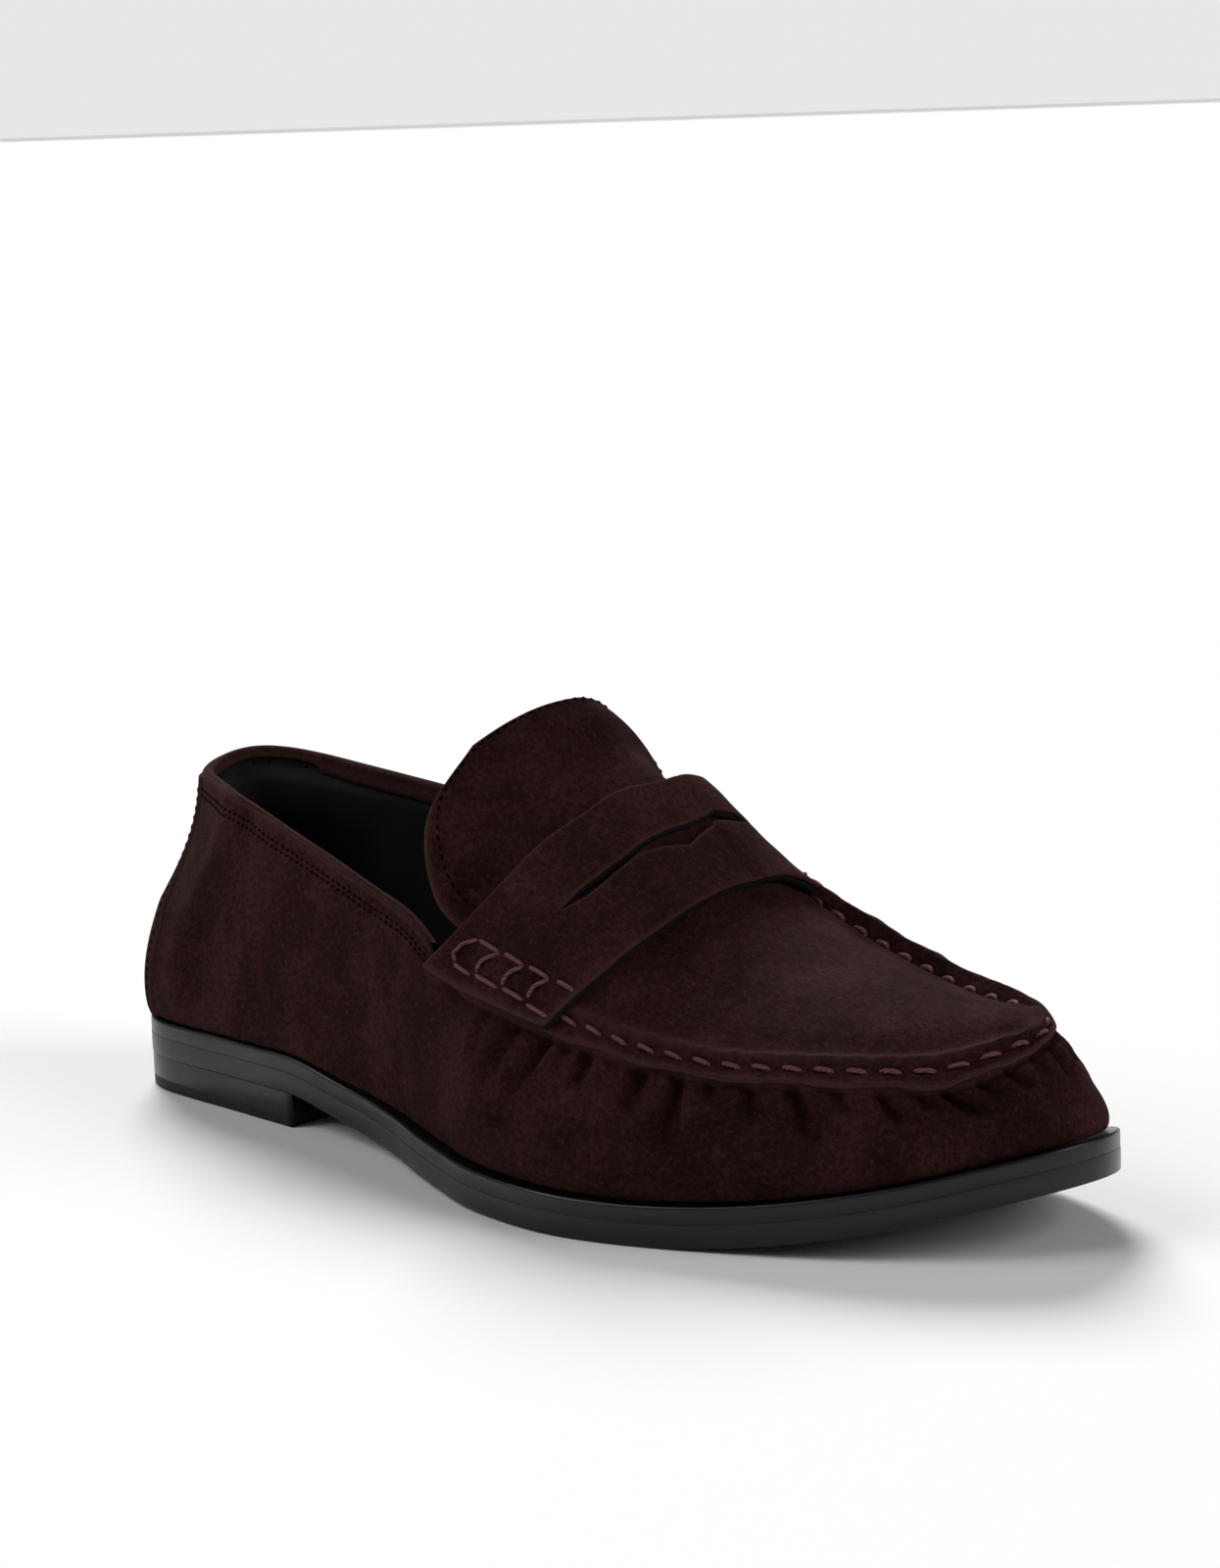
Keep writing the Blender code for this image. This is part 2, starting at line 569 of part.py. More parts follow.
def surface_grid(k, r, height):
    """Instep grid from the crest to the apron edge, moved along its normal."""
    kk, rr = np.meshgrid(k, r, indexing="ij")
    here = instep(kk, rr)
    high_r = np.minimum(rr + 0.01, 1.0)
    low_r = np.maximum(rr - 0.01, 0.0)
    across = instep(kk, high_r) - instep(kk, low_r)
    along = instep(kk + 0.05, np.maximum(rr, 0.05)) - instep(kk - 0.05, np.maximum(rr, 0.05))
    normal = np.cross(across, along)
    normal /= np.linalg.norm(normal, axis=-1, keepdims=True)
    normal *= np.where(normal[..., 2:3] < 0, -1, 1)
    flat_slope = smooth(CREST, here[:, :1, 0] + 1) - smooth(CREST, here[:, :1, 0] - 1)
    crest = np.stack([-flat_slope / 2, flat_slope * 0, flat_slope * 0 + 1], -1)
    crest /= np.linalg.norm(crest, axis=-1, keepdims=True)
    normal[:, :1] = crest
    return here + normal * height


def strap_point(q, w, height):
    """Point on the strap: q across from outer end to inner end, w from rear to front edge."""
    q, w = np.broadcast_arrays(np.asarray(q, float), np.asarray(w, float))
    r = np.abs(q)
    rear = np.where(q <= 0, smooth(STRAP_NEAR, r), smooth(STRAP_FAR, r))
    front = np.where(q <= 0, smooth(STRAP_NEAR, r, 2), smooth(STRAP_FAR, r, 2))
    return instep_at(rear + (front - rear) * w, q, height)


def strap(mats):
    """Saddle strap with its coin slot, and the plain black backing under it."""
    ends = SLOT_REAR[0][0], SLOT_REAR[-1][0]
    q = np.array([-1, -0.97, -0.9, -0.8, -0.71, -0.63, -0.56, -0.49, -0.39, -0.33, -0.26, -0.19,
                  -0.12, -0.06, 0.06, 0.17, 0.29, 0.43, 0.56, 0.61, 0.7, 0.8, 0.9, 1.0])
    share = np.linspace(0, 1, 4)
    rear = np.interp(q, *np.array(SLOT_REAR).T)[:, None]
    front = np.interp(q, *np.array(SLOT_FRONT).T)[:, None]
    w = np.concatenate([rear * share, front + (1 - front) * share], 1)
    keep = np.ones((len(q) - 1, 7), bool)
    keep[(q[:-1] >= ends[0]) & (q[1:] <= ends[1]), 3] = False
    qq = np.broadcast_to(q[:, None], w.shape)
    slab("strap", strap_point(qq, w, STRAP_HIGH), strap_point(qq, w, STRAP_LOW), mats["suede"], keep)
    w = np.broadcast_to(np.linspace(0.06, 0.94, 7), (len(q), 7))
    qq = np.broadcast_to(q[:, None], w.shape) * 0.97
    slab("strap_underlay", strap_point(qq, w, UNDERLAY_HIGH), strap_point(qq, w, UNDERLAY_LOW),
         mats["edge_black"])


def tongue_grid(lines, across, sink):
    """Tongue surface from its hidden root to the free rounded end."""
    rows = []
    for near_a, near_x, crest_a, far_a, far_x, heights in TONGUE_ROWS:
        if heights is None:
            near_q = -(CREST_X - near_x) / (CREST_X + 38)
            far_q = (far_x - CREST_X) / 22.5
            near_z = instep_at(near_a, near_q, 0.0)[2] - TONGUE_SINK
            far_z = instep_at(far_a, far_q, 0.0)[2] - TONGUE_SINK
            crest_z = float(smooth(CREST, crest_a)) - 3.4
        else:
            near_z, crest_z, far_z = heights
        rows.append((near_a, near_x, near_z, crest_a, 14.0, crest_z, far_a, far_x, far_z))
    table = catmull(rows, np.linspace(0, len(rows) - 1, lines), False)
    near, crest, far = table[:, None, :3], table[:, None, 3:6], table[:, None, 6:]
    q = across[None, :, None]
    r = np.abs(q)
    edge = np.where(q <= 0, near, far)
    power = np.where(q <= 0, NEAR_POWER, FAR_POWER)
    mixed = crest * (1 - r) + edge * r
    mixed[..., 2:] = edge[..., 2:] + (crest[..., 2:] - edge[..., 2:]) * (1 - r**power)
    du = np.gradient(mixed, axis=0)
    dv = np.gradient(mixed, axis=1)
    normal = np.cross(du, dv)
    normal /= np.linalg.norm(normal, axis=-1, keepdims=True)
    normal *= np.where(normal[..., 2:3] < 0, -1, 1)
    return mixed - normal * sink


def tongue(mats):
    across = np.linspace(-1, 1, 13)
    slab("tongue", tongue_grid(14, across, 0.0), tongue_grid(14, across, TONGUE_THICK),
         mats["suede"])
    across = np.linspace(-0.96, 0.96, 11)
    slab("tongue_lining", tongue_grid(14, across, TONGUE_THICK + GAP),
         tongue_grid(14, across, TONGUE_THICK + GAP + TONGUE_LINING_THICK), mats["lining_black"])


def threads(mats):
    made = mats["thread"]
    k = np.linspace(4.1, 20.9, 60)
    path = surface_grid(k, np.array([0.0, 0.93]), GAP + THREAD_RADIUS)[:, 1]
    tube("moc_thread", path, THREAD_RADIUS, 4, made)
    lift = STRAP_HIGH + GAP + THREAD_RADIUS
    w = np.linspace(0.1, 0.94, 22)
    tube("ladder_thread_outer", strap_point(-0.955 + 0 * w, w, lift), THREAD_RADIUS, 5, made)
    tube("ladder_thread_inner", strap_point(0.9 + 0 * w, w, lift), THREAD_RADIUS, 5, made)
    w = np.linspace(0.06, 0.94, 18)
    tube("bar_thread_outer", strap_point(-0.86 + 0 * w, w, lift), THREAD_RADIUS, 5, made)
    fine = -(GAP + FINE_THREAD_RADIUS)
    rows = np.linspace(2.15, ROW_NEAR_STRAP - 0.3, 38)
    for n, drop in enumerate((0.9, 2.7)):
        share = collar_share(rows) - drop / 62
        tube(f"topline_thread_{n + 1}", wall_at(rows, share, fine), FINE_THREAD_RADIUS, 4, made)
    rows = np.linspace(ROW_FAR_STRAP + 0.4, len(ROWS) - 2.15, 32)
    tube("topline_thread_3", wall_at(rows, collar_share(rows) - 0.9 / 60, fine),
         FINE_THREAD_RADIUS, 4, made)
    share = np.linspace(0.05, 0.93, 16)
    for n, side in enumerate((-1, 1)):
        path = wall_at(side * (backstay_rows(share) - 0.15), share, fine - BACKSTAY_OUT)
        tube(f"backstay_thread_{n + 1}", path, FINE_THREAD_RADIUS, 4, made)
    across = np.linspace(-0.93, 0.93, 15)
    edge = tongue_grid(32, across, -GAP - FINE_THREAD_RADIUS)
    path = np.concatenate([edge[14:30, 0], edge[30, 1:-1], edge[29:13:-1, -1]])
    tube("tongue_thread", path, FINE_THREAD_RADIUS, 4, made)


def clear_scene():
    for obj in list(bpy.data.objects):
        bpy.data.objects.remove(obj, do_unlink=True)


def build():
    clear_scene()
    mats = {
        "suede": material("suede", (0.045, 0.012, 0.014), 0.95),
        "lining_black": material("lining_black", (0.012, 0.012, 0.013), 0.6),
        "lining_tan": material("lining_tan", (0.16, 0.11, 0.075), 0.8),
        "edge_black": material("edge_black", (0.015, 0.012, 0.012), 0.85),
        "sole_black": material("sole_black", (0.012, 0.012, 0.013), 0.3),
        "heel_black": material("heel_black", (0.016, 0.016, 0.017), 0.35),
        "rubber_black": material("rubber_black", (0.02, 0.02, 0.02), 0.7),
        "cork": material("cork", (0.28, 0.17, 0.09), 0.9),
        "board": material("board", (0.35, 0.27, 0.18), 0.9),
        "fibre": material("fibre", (0.4, 0.36, 0.3), 0.85),
        "foam": material("foam", (0.5, 0.48, 0.42), 0.95),
        "thread": material("thread", (0.2, 0.045, 0.06), 0.6),
        "steel": material("steel", (0.5, 0.5, 0.52), 0.35, 1.0),
    }
    sole_parts(mats)
    inner_sole(mats)
    upper_parts(mats)
    apron(mats)
    strap(mats)
    tongue(mats)
    threads(mats)


build()
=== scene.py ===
"""Looks of the penny loafer: suede upper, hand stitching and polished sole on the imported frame."""

import json
import math

import bmesh
import bpy
import numpy as np
from mathutils import Matrix, Vector

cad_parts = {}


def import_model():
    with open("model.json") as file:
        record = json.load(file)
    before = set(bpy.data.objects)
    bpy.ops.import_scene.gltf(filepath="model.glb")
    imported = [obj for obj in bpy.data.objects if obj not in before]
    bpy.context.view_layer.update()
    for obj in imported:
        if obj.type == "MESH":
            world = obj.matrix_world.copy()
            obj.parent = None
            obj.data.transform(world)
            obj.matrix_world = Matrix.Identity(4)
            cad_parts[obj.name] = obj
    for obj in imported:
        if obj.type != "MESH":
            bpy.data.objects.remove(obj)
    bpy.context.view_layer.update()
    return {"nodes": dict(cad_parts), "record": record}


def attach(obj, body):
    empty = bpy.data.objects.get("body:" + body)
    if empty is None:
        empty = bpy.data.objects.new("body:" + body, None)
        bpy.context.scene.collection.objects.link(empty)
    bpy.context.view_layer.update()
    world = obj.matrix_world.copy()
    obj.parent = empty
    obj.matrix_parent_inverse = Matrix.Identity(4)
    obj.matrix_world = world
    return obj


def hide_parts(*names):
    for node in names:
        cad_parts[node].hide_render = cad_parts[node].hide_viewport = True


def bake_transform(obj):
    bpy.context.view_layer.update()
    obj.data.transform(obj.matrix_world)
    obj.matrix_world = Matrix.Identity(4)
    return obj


MM = 0.001
UP = np.array([0, 0, 1.0])
HALF_LENGTH = 148.8
GAP = 0.35

# Sole stack, in millimetres.
OUTSOLE_THICK = 5.2
WELT_THICK = 3.95
SOLE_THICK = OUTSOLE_THICK + GAP + WELT_THICK
HEEL_LENGTH = 76.0
TOP_LIFT_THICK = 3.0
HEEL_TOP = 9.0
WELT_REAR = 1.4
WELT_FRONT = 3.6
WELT_RING = 10.5
BOARD_THICK = 2.0
SOCK_THICK = 1.2
PAD_THICK = 1.6

# Upper stack, as depths below the outer face of the wall.
STIFF_OUT = 1.95
LINING_OUT = 3.1
LINING_IN = 4.0
COLLAR_PAD = 2.2
APRON_THICK = 1.6
STRAP_LOW = 1.3
STRAP_HIGH = 3.1
TONGUE_THICK = 1.5
BACKSTAY_OUT = 1.1
BACKSTAY_TOP = 1.9
BACKSTAY_BASE = 2.8
TONGUE_LINING_THICK = 0.9

# Height of the underside of the sole by distance from the back of the heel.
SOLE_LINE = ((0, 9.0), (62, 9.0), (76, 8.9), (100, 4.9), (130, 1.9), (160, 0.8), (190, 0.3),
             (215, 0.0), (240, 1.5), (270, 6.7), (300, 15.0))

# One row per station round the shoe, from the back of the heel past the outer side to the
# toe and home along the inner side: sole edge (a, x), then top edge of the upper (a, x, z).
# a is the distance from the back of the heel and x is positive towards the inner side.
ROWS = (
    (0.0, 9.5, 8.5, 13.5, 82.3), (2.0, -1.0, 11.5, 6.5, 81.6), (6.5, -10.5, 18.0, -0.2, 81.4),
    (16.0, -16.5, 28.5, -6.3, 81.0), (30.0, -19.0, 41.5, -11.0, 80.0),
    (48.0, -20.5, 57.0, -15.5, 78.0), (66.0, -22.3, 75.0, -19.3, 74.0),
    (84.0, -24.0, 93.0, -22.6, 69.8), (104.0, -26.0, 111.0, -25.6, 65.0),
    (122.0, -30.8, 127.0, -28.5, 61.0), (138.0, -37.5, 140.0, -32.0, 55.0),
    (152.0, -43.3, 153.0, -35.0, 47.0), (166.0, -48.5, 167.0, -37.3, 44.6),
    (182.0, -51.4, 182.0, -37.3, 41.6), (196.0, -52.0, 195.0, -36.4, 39.5),
    (210.0, -49.6, 208.0, -35.4, 37.7), (224.0, -45.2, 221.0, -33.4, 36.6),
    (238.0, -39.6, 233.0, -30.8, 35.8), (252.0, -33.3, 246.0, -27.0, 36.2),
    (265.0, -26.6, 258.0, -22.8, 36.5), (277.0, -18.4, 268.0, -16.8, 36.3),
    (287.0, -8.6, 276.5, -9.5, 36.1), (295.0, 2.0, 283.0, -2.0, 38.3),
    (299.3, 12.0, 286.5, 6.0, 41.3), (299.5, 22.0, 287.0, 14.0, 43.5),
    (295.0, 32.0, 285.0, 19.5, 44.2), (287.0, 40.0, 280.5, 23.5, 44.5),
    (275.0, 46.0, 271.0, 27.0, 44.4), (260.0, 49.8, 257.0, 30.0, 45.0),
    (243.0, 51.8, 242.0, 32.5, 48.0), (225.0, 52.3, 226.0, 34.0, 52.3),
    (207.0, 51.0, 208.0, 34.5, 58.3), (190.0, 48.0, 190.0, 35.3, 62.5),
    (172.0, 43.8, 170.0, 36.0, 66.0), (154.0, 40.5, 153.0, 36.5, 69.0),
    (137.0, 38.5, 138.0, 38.0, 71.5), (118.0, 37.5, 120.0, 38.0, 72.5),
    (98.0, 38.0, 100.0, 37.5, 74.5), (78.0, 39.3, 80.0, 37.0, 77.0),
    (60.0, 40.0, 60.0, 36.5, 79.0), (43.0, 39.8, 44.0, 36.0, 80.5),
    (28.0, 38.0, 30.0, 35.0, 82.0), (15.0, 33.5, 20.0, 31.8, 83.2),
    (6.0, 26.0, 13.0, 26.5, 83.8), (1.2, 18.0, 9.0, 20.3, 83.3))
ROW_NEAR_STRAP = 10
ROW_TOE = 24
ROW_FAR_STRAP = 35

# Edge of the apron, from the outer strap end round the toe to the inner strap end.
LIP = ((141, -35, 52), (153, -37, 49.2), (168, -39, 46.8), (182, -39, 44), (195, -38.2, 42),
       (208, -37.2, 40.2), (221, -35.2, 39), (233, -32.6, 38.3), (246, -28.8, 38.7),
       (258, -24.4, 39), (269, -18.2, 38.8), (278, -10.5, 38.8), (284.5, -2.8, 41),
       (288.3, 6, 44), (289, 14.5, 46), (286.5, 21, 46.8), (281.5, 25.3, 47), (272, 29, 47),
       (257.5, 32, 47.7), (242, 34.5, 50.6), (226, 36, 54.8), (208, 36.4, 60.8),
       (190, 37, 65), (170, 37.7, 68.5), (153, 38.3, 71.5), (141, 39, 73))
LIP_TOE = 14
# Height of the crest of the instep, and how the crest runs sideways.
CREST = ((141, 108.5), (150, 107), (160, 102.5), (170, 96), (177, 91), (185, 83.5), (193, 76),
         (201, 69.5), (210, 64.5), (225, 59), (240, 55.5), (255, 53), (268, 51.3), (280, 50))
CREST_X = 15.0
SPINE_SHRINK = 0.86
NEAR_POWER = 1.7
FAR_POWER = 2.0

# Rear and front edges of the strap by share of the way from the crest to the apron edge.
STRAP_NEAR = ((0, 175.9, 201), (0.1, 175.8, 200.9), (0.29, 171.4, 200.4), (0.44, 168.6, 199.4),
              (0.56, 164.7, 198.4), (0.7, 160.0, 195.8), (0.8, 155.6, 193.6), (0.9, 149.8, 190.2),
              (1.0, 143.2, 186.3))
STRAP_FAR = ((0, 175.9, 201), (0.3, 176, 202), (0.6, 172, 203), (0.8, 168, 203.5), (1.0, 163, 204))
# Rear and front edges of the coin slot: place across the strap, then share of its width.
SLOT_REAR = ((-0.71, 0.48), (-0.63, 0.462), (-0.55, 0.468), (-0.47, 0.456), (-0.36, 0.438),
             (-0.27, 0.43), (-0.15, 0.397), (-0.04, 0.37), (0.15, 0.337), (0.43, 0.369),
             (0.56, 0.425), (0.61, 0.49))
SLOT_FRONT = ((-0.71, 0.48), (-0.63, 0.528), (-0.56, 0.525), (-0.49, 0.508), (-0.39, 0.484),
              (-0.33, 0.513), (-0.26, 0.548), (-0.19, 0.572), (-0.12, 0.511), (-0.06, 0.472),
              (0.06, 0.424), (0.29, 0.455), (0.61, 0.49))
# Tongue control rows: outer edge (a, x), crest a, inner edge (a, x), then the three heights
# where the tongue stands clear of the instep.
TONGUE_ROWS = (
    (186.0, -17.0, 189.0, 190.0, 29.0, None), (172.0, -23.0, 180.0, 180.0, 31.0, None),
    (160.0, -27.0, 170.0, 170.0, 32.0, None), (149.5, -29.5, 160.0, 162.0, 33.0, None),
    (140.5, -31.0, 152.5, 156.0, 34.0, (69.0, 106.5, 87.0)),
    (135.5, -27.0, 148.5, 151.0, 30.0, (86.5, 109.6, 96.5)),
    (137.5, -13.0, 147.0, 148.0, 21.5, (102.0, 110.8, 107.0)))
TONGUE_SINK = 4.2

# Detail of the visual model, in millimetres.
STITCH_PITCH = 7.4
STITCH_RADIUS = 0.6
STITCH_IN = 3.1
FAR_SEAM_IN = 0.5
FLANGE_HIGH = 4.2
TROUGH_DEEP = 1.1
RIDGE_IN = 5.2
RIDGE_HIGH = 1.6
GROOVE_DEEP = 0.9
FOLD_DEEP = 3.9
FOLD_LIMIT = 2.3
COLLAR_ROLL = 1.5
FOOT_TUCK = 2.2
QUARTER_STEP = 0.7
LADDER_RADIUS = 0.5
LADDER_RISE = 0.45
LADDER_SINK = 0.7
STRAP_WIDE = 40.0
STRAP_HALF_SPAN = 45.0
NEEDLE_PITCH = 2.4
FINE_RADIUS = 0.27
# Rows of needle stitches under the topline: drops below it, and the height of the wall there.
NEAR_DROPS = (3.3, 5.0)
NEAR_WALL_HIGH = 62
FAR_DROP = 3.4
FAR_WALL_HIGH = 60
# First and last row of the moccasin seam along the apron edge.
SEAM_FIRST = 3.35
SEAM_LAST = 21.3
# Lines of the tongue, of 200 from root to free end, where its stitches begin and turn across.
TONGUE_STITCH_FIRST = 84
TONGUE_STITCH_LAST = 190

# Folds under the apron edge: row at the top, row at the foot, height share at the foot, depth.
FOLDS = ((11.9, 11.8, 0.72, 0.5), (12.6, 12.3, 0.55, 0.7), (13.27, 12.79, 0.4, 1.25),
         (13.75, 13.6, 0.72, 0.6), (14.17, 14.21, 0.78, 1.0), (14.8, 14.8, 0.84, 0.5),
         (15.37, 15.31, 0.74, 1.2), (16.11, 16.17, 0.52, 1.35), (16.81, 16.8, 0.85, 0.7),
         (17.5, 17.6, 0.76, 0.8), (18.32, 18.6, 0.58, 1.4), (19.1, 19.25, 0.78, 0.8),
         (19.9, 20.08, 0.72, 1.1), (20.6, 20.75, 0.82, 0.7), (21.16, 21.5, 0.68, 1.2),
         (21.9, 22.1, 0.8, 0.7), (22.66, 22.8, 0.78, 0.9), (23.4, 23.4, 0.82, 0.6),
         (24.1, 24.1, 0.68, 0.9), (24.9, 24.9, 0.78, 0.8), (25.7, 25.65, 0.7, 1.0),
         (26.7, 26.6, 0.76, 0.9), (27.8, 27.75, 0.66, 1.0), (29.0, 28.9, 0.72, 1.0),
         (30.1, 30.2, 0.64, 1.0), (31.2, 31.3, 0.7, 0.9), (32.3, 32.4, 0.66, 0.8),
         (33.4, 33.4, 0.72, 0.7))

CAMERA_AT = Vector((-0.67704, -0.69610, 0.25488))
CAMERA_AIM = Vector((0.01083, -0.01040, 0.09092))
CAMERA_ROLL = math.radians(-1.886)
CAMERA_LENS = 94.43

# Colours are linear.
SUEDE = (0.0240, 0.0080, 0.0076)
# Lighter suede for worn edges, and also for the painted highlight along the apron ridge.
WORN_EDGE_AND_HIGHLIGHT = (0.075, 0.036, 0.033)

# Stage: reach, distances and heights in metres, sun strengths with their angles in degrees.
FLOOR_REACH = 40.0
FLOOR = (0.80, 0.80, 0.80)
BACKDROP = 0.79
BACKDROP_FAR = 36.0
BACKDROP_HALF = 14
BACKDROP_FOOT = -0.1
BACKDROP_TOP = 3.5
WORLD_STRENGTH = 0.12
SUNS = (("back_sun", (0.72, 1.0, 1.0), 3.2, 25), ("side_sun", (-0.68, 0.6, 0.8), 1.2, 40),
        ("toe_sun", (0.30, -0.85, 0.55), 1.2, 35))


def smooth(points, where, column=1):
    """Smooth curve through a table, read at one or many places."""
    table = np.array(points, float)
    x = table[:, 0]
    y = table[:, column]
    slope = np.gradient(y, x)
    where = np.clip(np.asarray(where, float), x[0], x[-1])
    i = np.clip(np.searchsorted(x, where, side="right") - 1, 0, len(x) - 2)
    width = x[i + 1] - x[i]
    t = (where - x[i]) / width
    return (y[i] * (2 * t**3 - 3 * t**2 + 1) + y[i + 1] * (3 * t**2 - 2 * t**3)
            + width * (slope[i] * (t**3 - 2 * t**2 + t) + slope[i + 1] * (t**3 - t**2)))


def catmull(table, where, closed):
    """Catmull-Rom curve through table rows at row numbers given in where."""
    table = np.asarray(table, float)
    count = len(table)
    where = np.asarray(where, float)
    i = np.floor(where).astype(int)
    if not closed:
        i = np.clip(i, 0, count - 2)
    t = (where - i)[..., None]
    pick = [(i + k) % count if closed else np.clip(i + k, 0, count - 1) for k in (-1, 0, 1, 2)]
    a, b, c, d = (table[k] for k in pick)
    return 0.5 * (2 * b + (c - a) * t + (2 * a - 5 * b + 4 * c - d) * t**2
                  + (3 * b - a - 3 * c + d) * t**3)


def ramp(x, low, high):
    """Smooth step from nought at low to one at high."""
    t = np.clip((np.asarray(x, float) - low) / (high - low), 0, 1)
    return t * t * (3 - 2 * t)


def unit(vectors):
    """Vectors along the last axis, scaled to length one."""
    return vectors / np.linalg.norm(vectors, axis=-1, keepdims=True)


def facing_up(vectors):
    """Vectors along the last axis, turned so that none points down."""
    return vectors * np.where(vectors[..., 2:3] < 0, -1, 1)


def along_path(where, along, path):
    """Points of a path at the given lengths along it."""
    return np.stack([np.interp(where, along, path[:, k]) for k in range(3)], 1)


def sole_z(a):
    """Height of the underside of the sole at distance a."""
    return np.maximum(smooth(SOLE_LINE, a), 0.0)


def welt_width(a):
    return WELT_REAR + (WELT_FRONT - WELT_REAR) * ramp(a, 80, 150)


def outline(where, inset=0.0):
    """Sole edge (a, x) at row numbers, moved inwards by inset."""
    step = 0.02
    here = catmull(ROWS, where, True)[..., :2]
    run = catmull(ROWS, np.asarray(where) + step, True)[..., :2]
    run = run - catmull(ROWS, np.asarray(where) - step, True)[..., :2]
    out = unit(np.stack([run[..., 1], -run[..., 0]], -1))
    return here - out * np.asarray(inset)[..., None], out


def feather(where):
    """Foot line of the upper on the welt."""
    here, _ = outline(where)
    return outline(where, welt_width(here[..., 0]))


def heel_swell(a, v):
    """Extra fullness low on the back of the heel and hollow above it."""
    cross = 0.47
    low = 0.9 * np.sin(np.pi * np.clip(v / cross, 0, 1))
    high = 3.5 * np.sin(np.pi * np.clip((v - cross) / 0.6, 0, 1))
    return (low - high) * (1 - ramp(a, 14, 44))


def wall(where, v):
    """Outer face of the upper at row numbers and height shares, as (a, x, z)."""
    where, v = np.broadcast_arrays(np.asarray(where, float), np.asarray(v, float))
    base, out = feather(where)
    rows = catmull(ROWS, where, True)
    top = rows[..., 2:4]
    low_z = sole_z(base[..., 0]) + SOLE_THICK + GAP
    front = ramp(rows[..., 0], 120, 200)
    toe = ramp(rows[..., 0], 255, 290)
    lean = v ** (1.2 + 0.45 * ramp(rows[..., 0], 20, 70) + 0.5 * front - 0.5 * toe)
    bulge = (2.7 + 1.8 * front - 2.6 * toe) * np.sin(np.pi * np.clip(v, 0, 1) ** 0.58)
    bulge = bulge + heel_swell(rows[..., 0], v)
    flat = base + (top - base) * lean[..., None] + out * bulge[..., None]
    z = low_z + (rows[..., 4] - low_z) * v
    return np.concatenate([flat, z[..., None]], -1)


def wall_at(where, v, depth):
    """The wall surface moved inwards by depth."""
    where, v, depth = np.broadcast_arrays(np.asarray(where, float), np.asarray(v, float),
                                          np.asarray(depth, float))
    du = wall(where + 0.03, v) - wall(where - 0.03, v)
    dv = wall(where, v + 0.02) - wall(where, np.maximum(v - 0.02, 0))
    normal = unit(np.cross(du, dv))
    side = np.sign((normal[..., :2] * feather(where)[1]).sum(-1))[..., None]
    return wall(where, v) - normal * side * depth[..., None]


def lip(k):
    """Edge of the apron (a, x, z) at edge place k."""
    return catmull(LIP, k, False)


def lip_row(a, near):
    """Row number of the apron edge at distance a on one side."""
    rows = np.linspace(0, LIP_TOE, 400) if near else np.linspace(len(LIP) - 1, LIP_TOE, 400)
    return np.interp(a, lip(rows)[:, 0], rows)


def instep(k, r):
    """Instep surface: k runs along the apron edge and r from the crest (0) to the edge (1)."""
    k, r = np.broadcast_arrays(np.asarray(k, float), np.asarray(r, float))
    edge = lip(k)
    spine_a = LIP[0][0] + (edge[..., 0] - LIP[0][0]) * SPINE_SHRINK
    power = np.where(k <= LIP_TOE, NEAR_POWER, FAR_POWER)
    power = power + (2.4 - power) * ramp(edge[..., 0], 215, 285)
    crest_z = smooth(CREST, spine_a)
    a = spine_a * (1 - r) + edge[..., 0] * r
    x = (CREST_X - 2.5 * ramp(spine_a, 210, 268)) * (1 - r) + edge[..., 1] * r
    z = edge[..., 2] + (crest_z - edge[..., 2]) * (1 - r**power)
    return np.stack([a, x, z], -1)


def instep_at(a, q, height):
    """Point over the instep at distance a; q is -1 at the outer edge, 0 at the crest, 1 inner."""
    a, q, height = np.broadcast_arrays(np.asarray(a, float), np.asarray(q, float),
                                       np.asarray(height, float))

    def point(a, q):
        r = np.abs(q)
        start = LIP[0][0]
        share = SPINE_SHRINK + (1 - SPINE_SHRINK) * r
        edge_a = start + (a - start) / share
        k = np.where(q <= 0, lip_row(edge_a, True), lip_row(edge_a, False))
        return instep(k, r)

    across = point(a, np.clip(q + 0.02, -1, 1)) - point(a, np.clip(q - 0.02, -1, 1))
    along = point(a + 0.5, q) - point(a - 0.5, q)
    normal = unit(np.cross(across, along))
    normal *= np.sign(normal[..., 2:3])
    return point(a, q) + normal * height[..., None]


def surface_grid(k, r, height):
    """Instep grid from the crest to the apron edge, moved along its normal."""
    kk, rr = np.meshgrid(k, r, indexing="ij")
    here = instep(kk, rr)
    high_r = np.minimum(rr + 0.01, 1.0)
    low_r = np.maximum(rr - 0.01, 0.0)
    across = instep(kk, high_r) - instep(kk, low_r)
    along = instep(kk + 0.05, np.maximum(rr, 0.05)) - instep(kk - 0.05, np.maximum(rr, 0.05))
    normal = facing_up(unit(np.cross(across, along)))
    flat_slope = smooth(CREST, here[:, :1, 0] + 1) - smooth(CREST, here[:, :1, 0] - 1)
    crest = unit(np.stack([-flat_slope / 2, flat_slope * 0, flat_slope * 0 + 1], -1))
    normal[:, :1] = crest
    return here + normal * height


def strap_point(q, w, height):
    """Point on the strap: q across from outer end to inner end, w from rear to front edge."""
    q, w = np.broadcast_arrays(np.asarray(q, float), np.asarray(w, float))
    r = np.abs(q)
    rear = np.where(q <= 0, smooth(STRAP_NEAR, r), smooth(STRAP_FAR, r))
    front = np.where(q <= 0, smooth(STRAP_NEAR, r, 2), smooth(STRAP_FAR, r, 2))
    return instep_at(rear + (front - rear) * w, q, height)


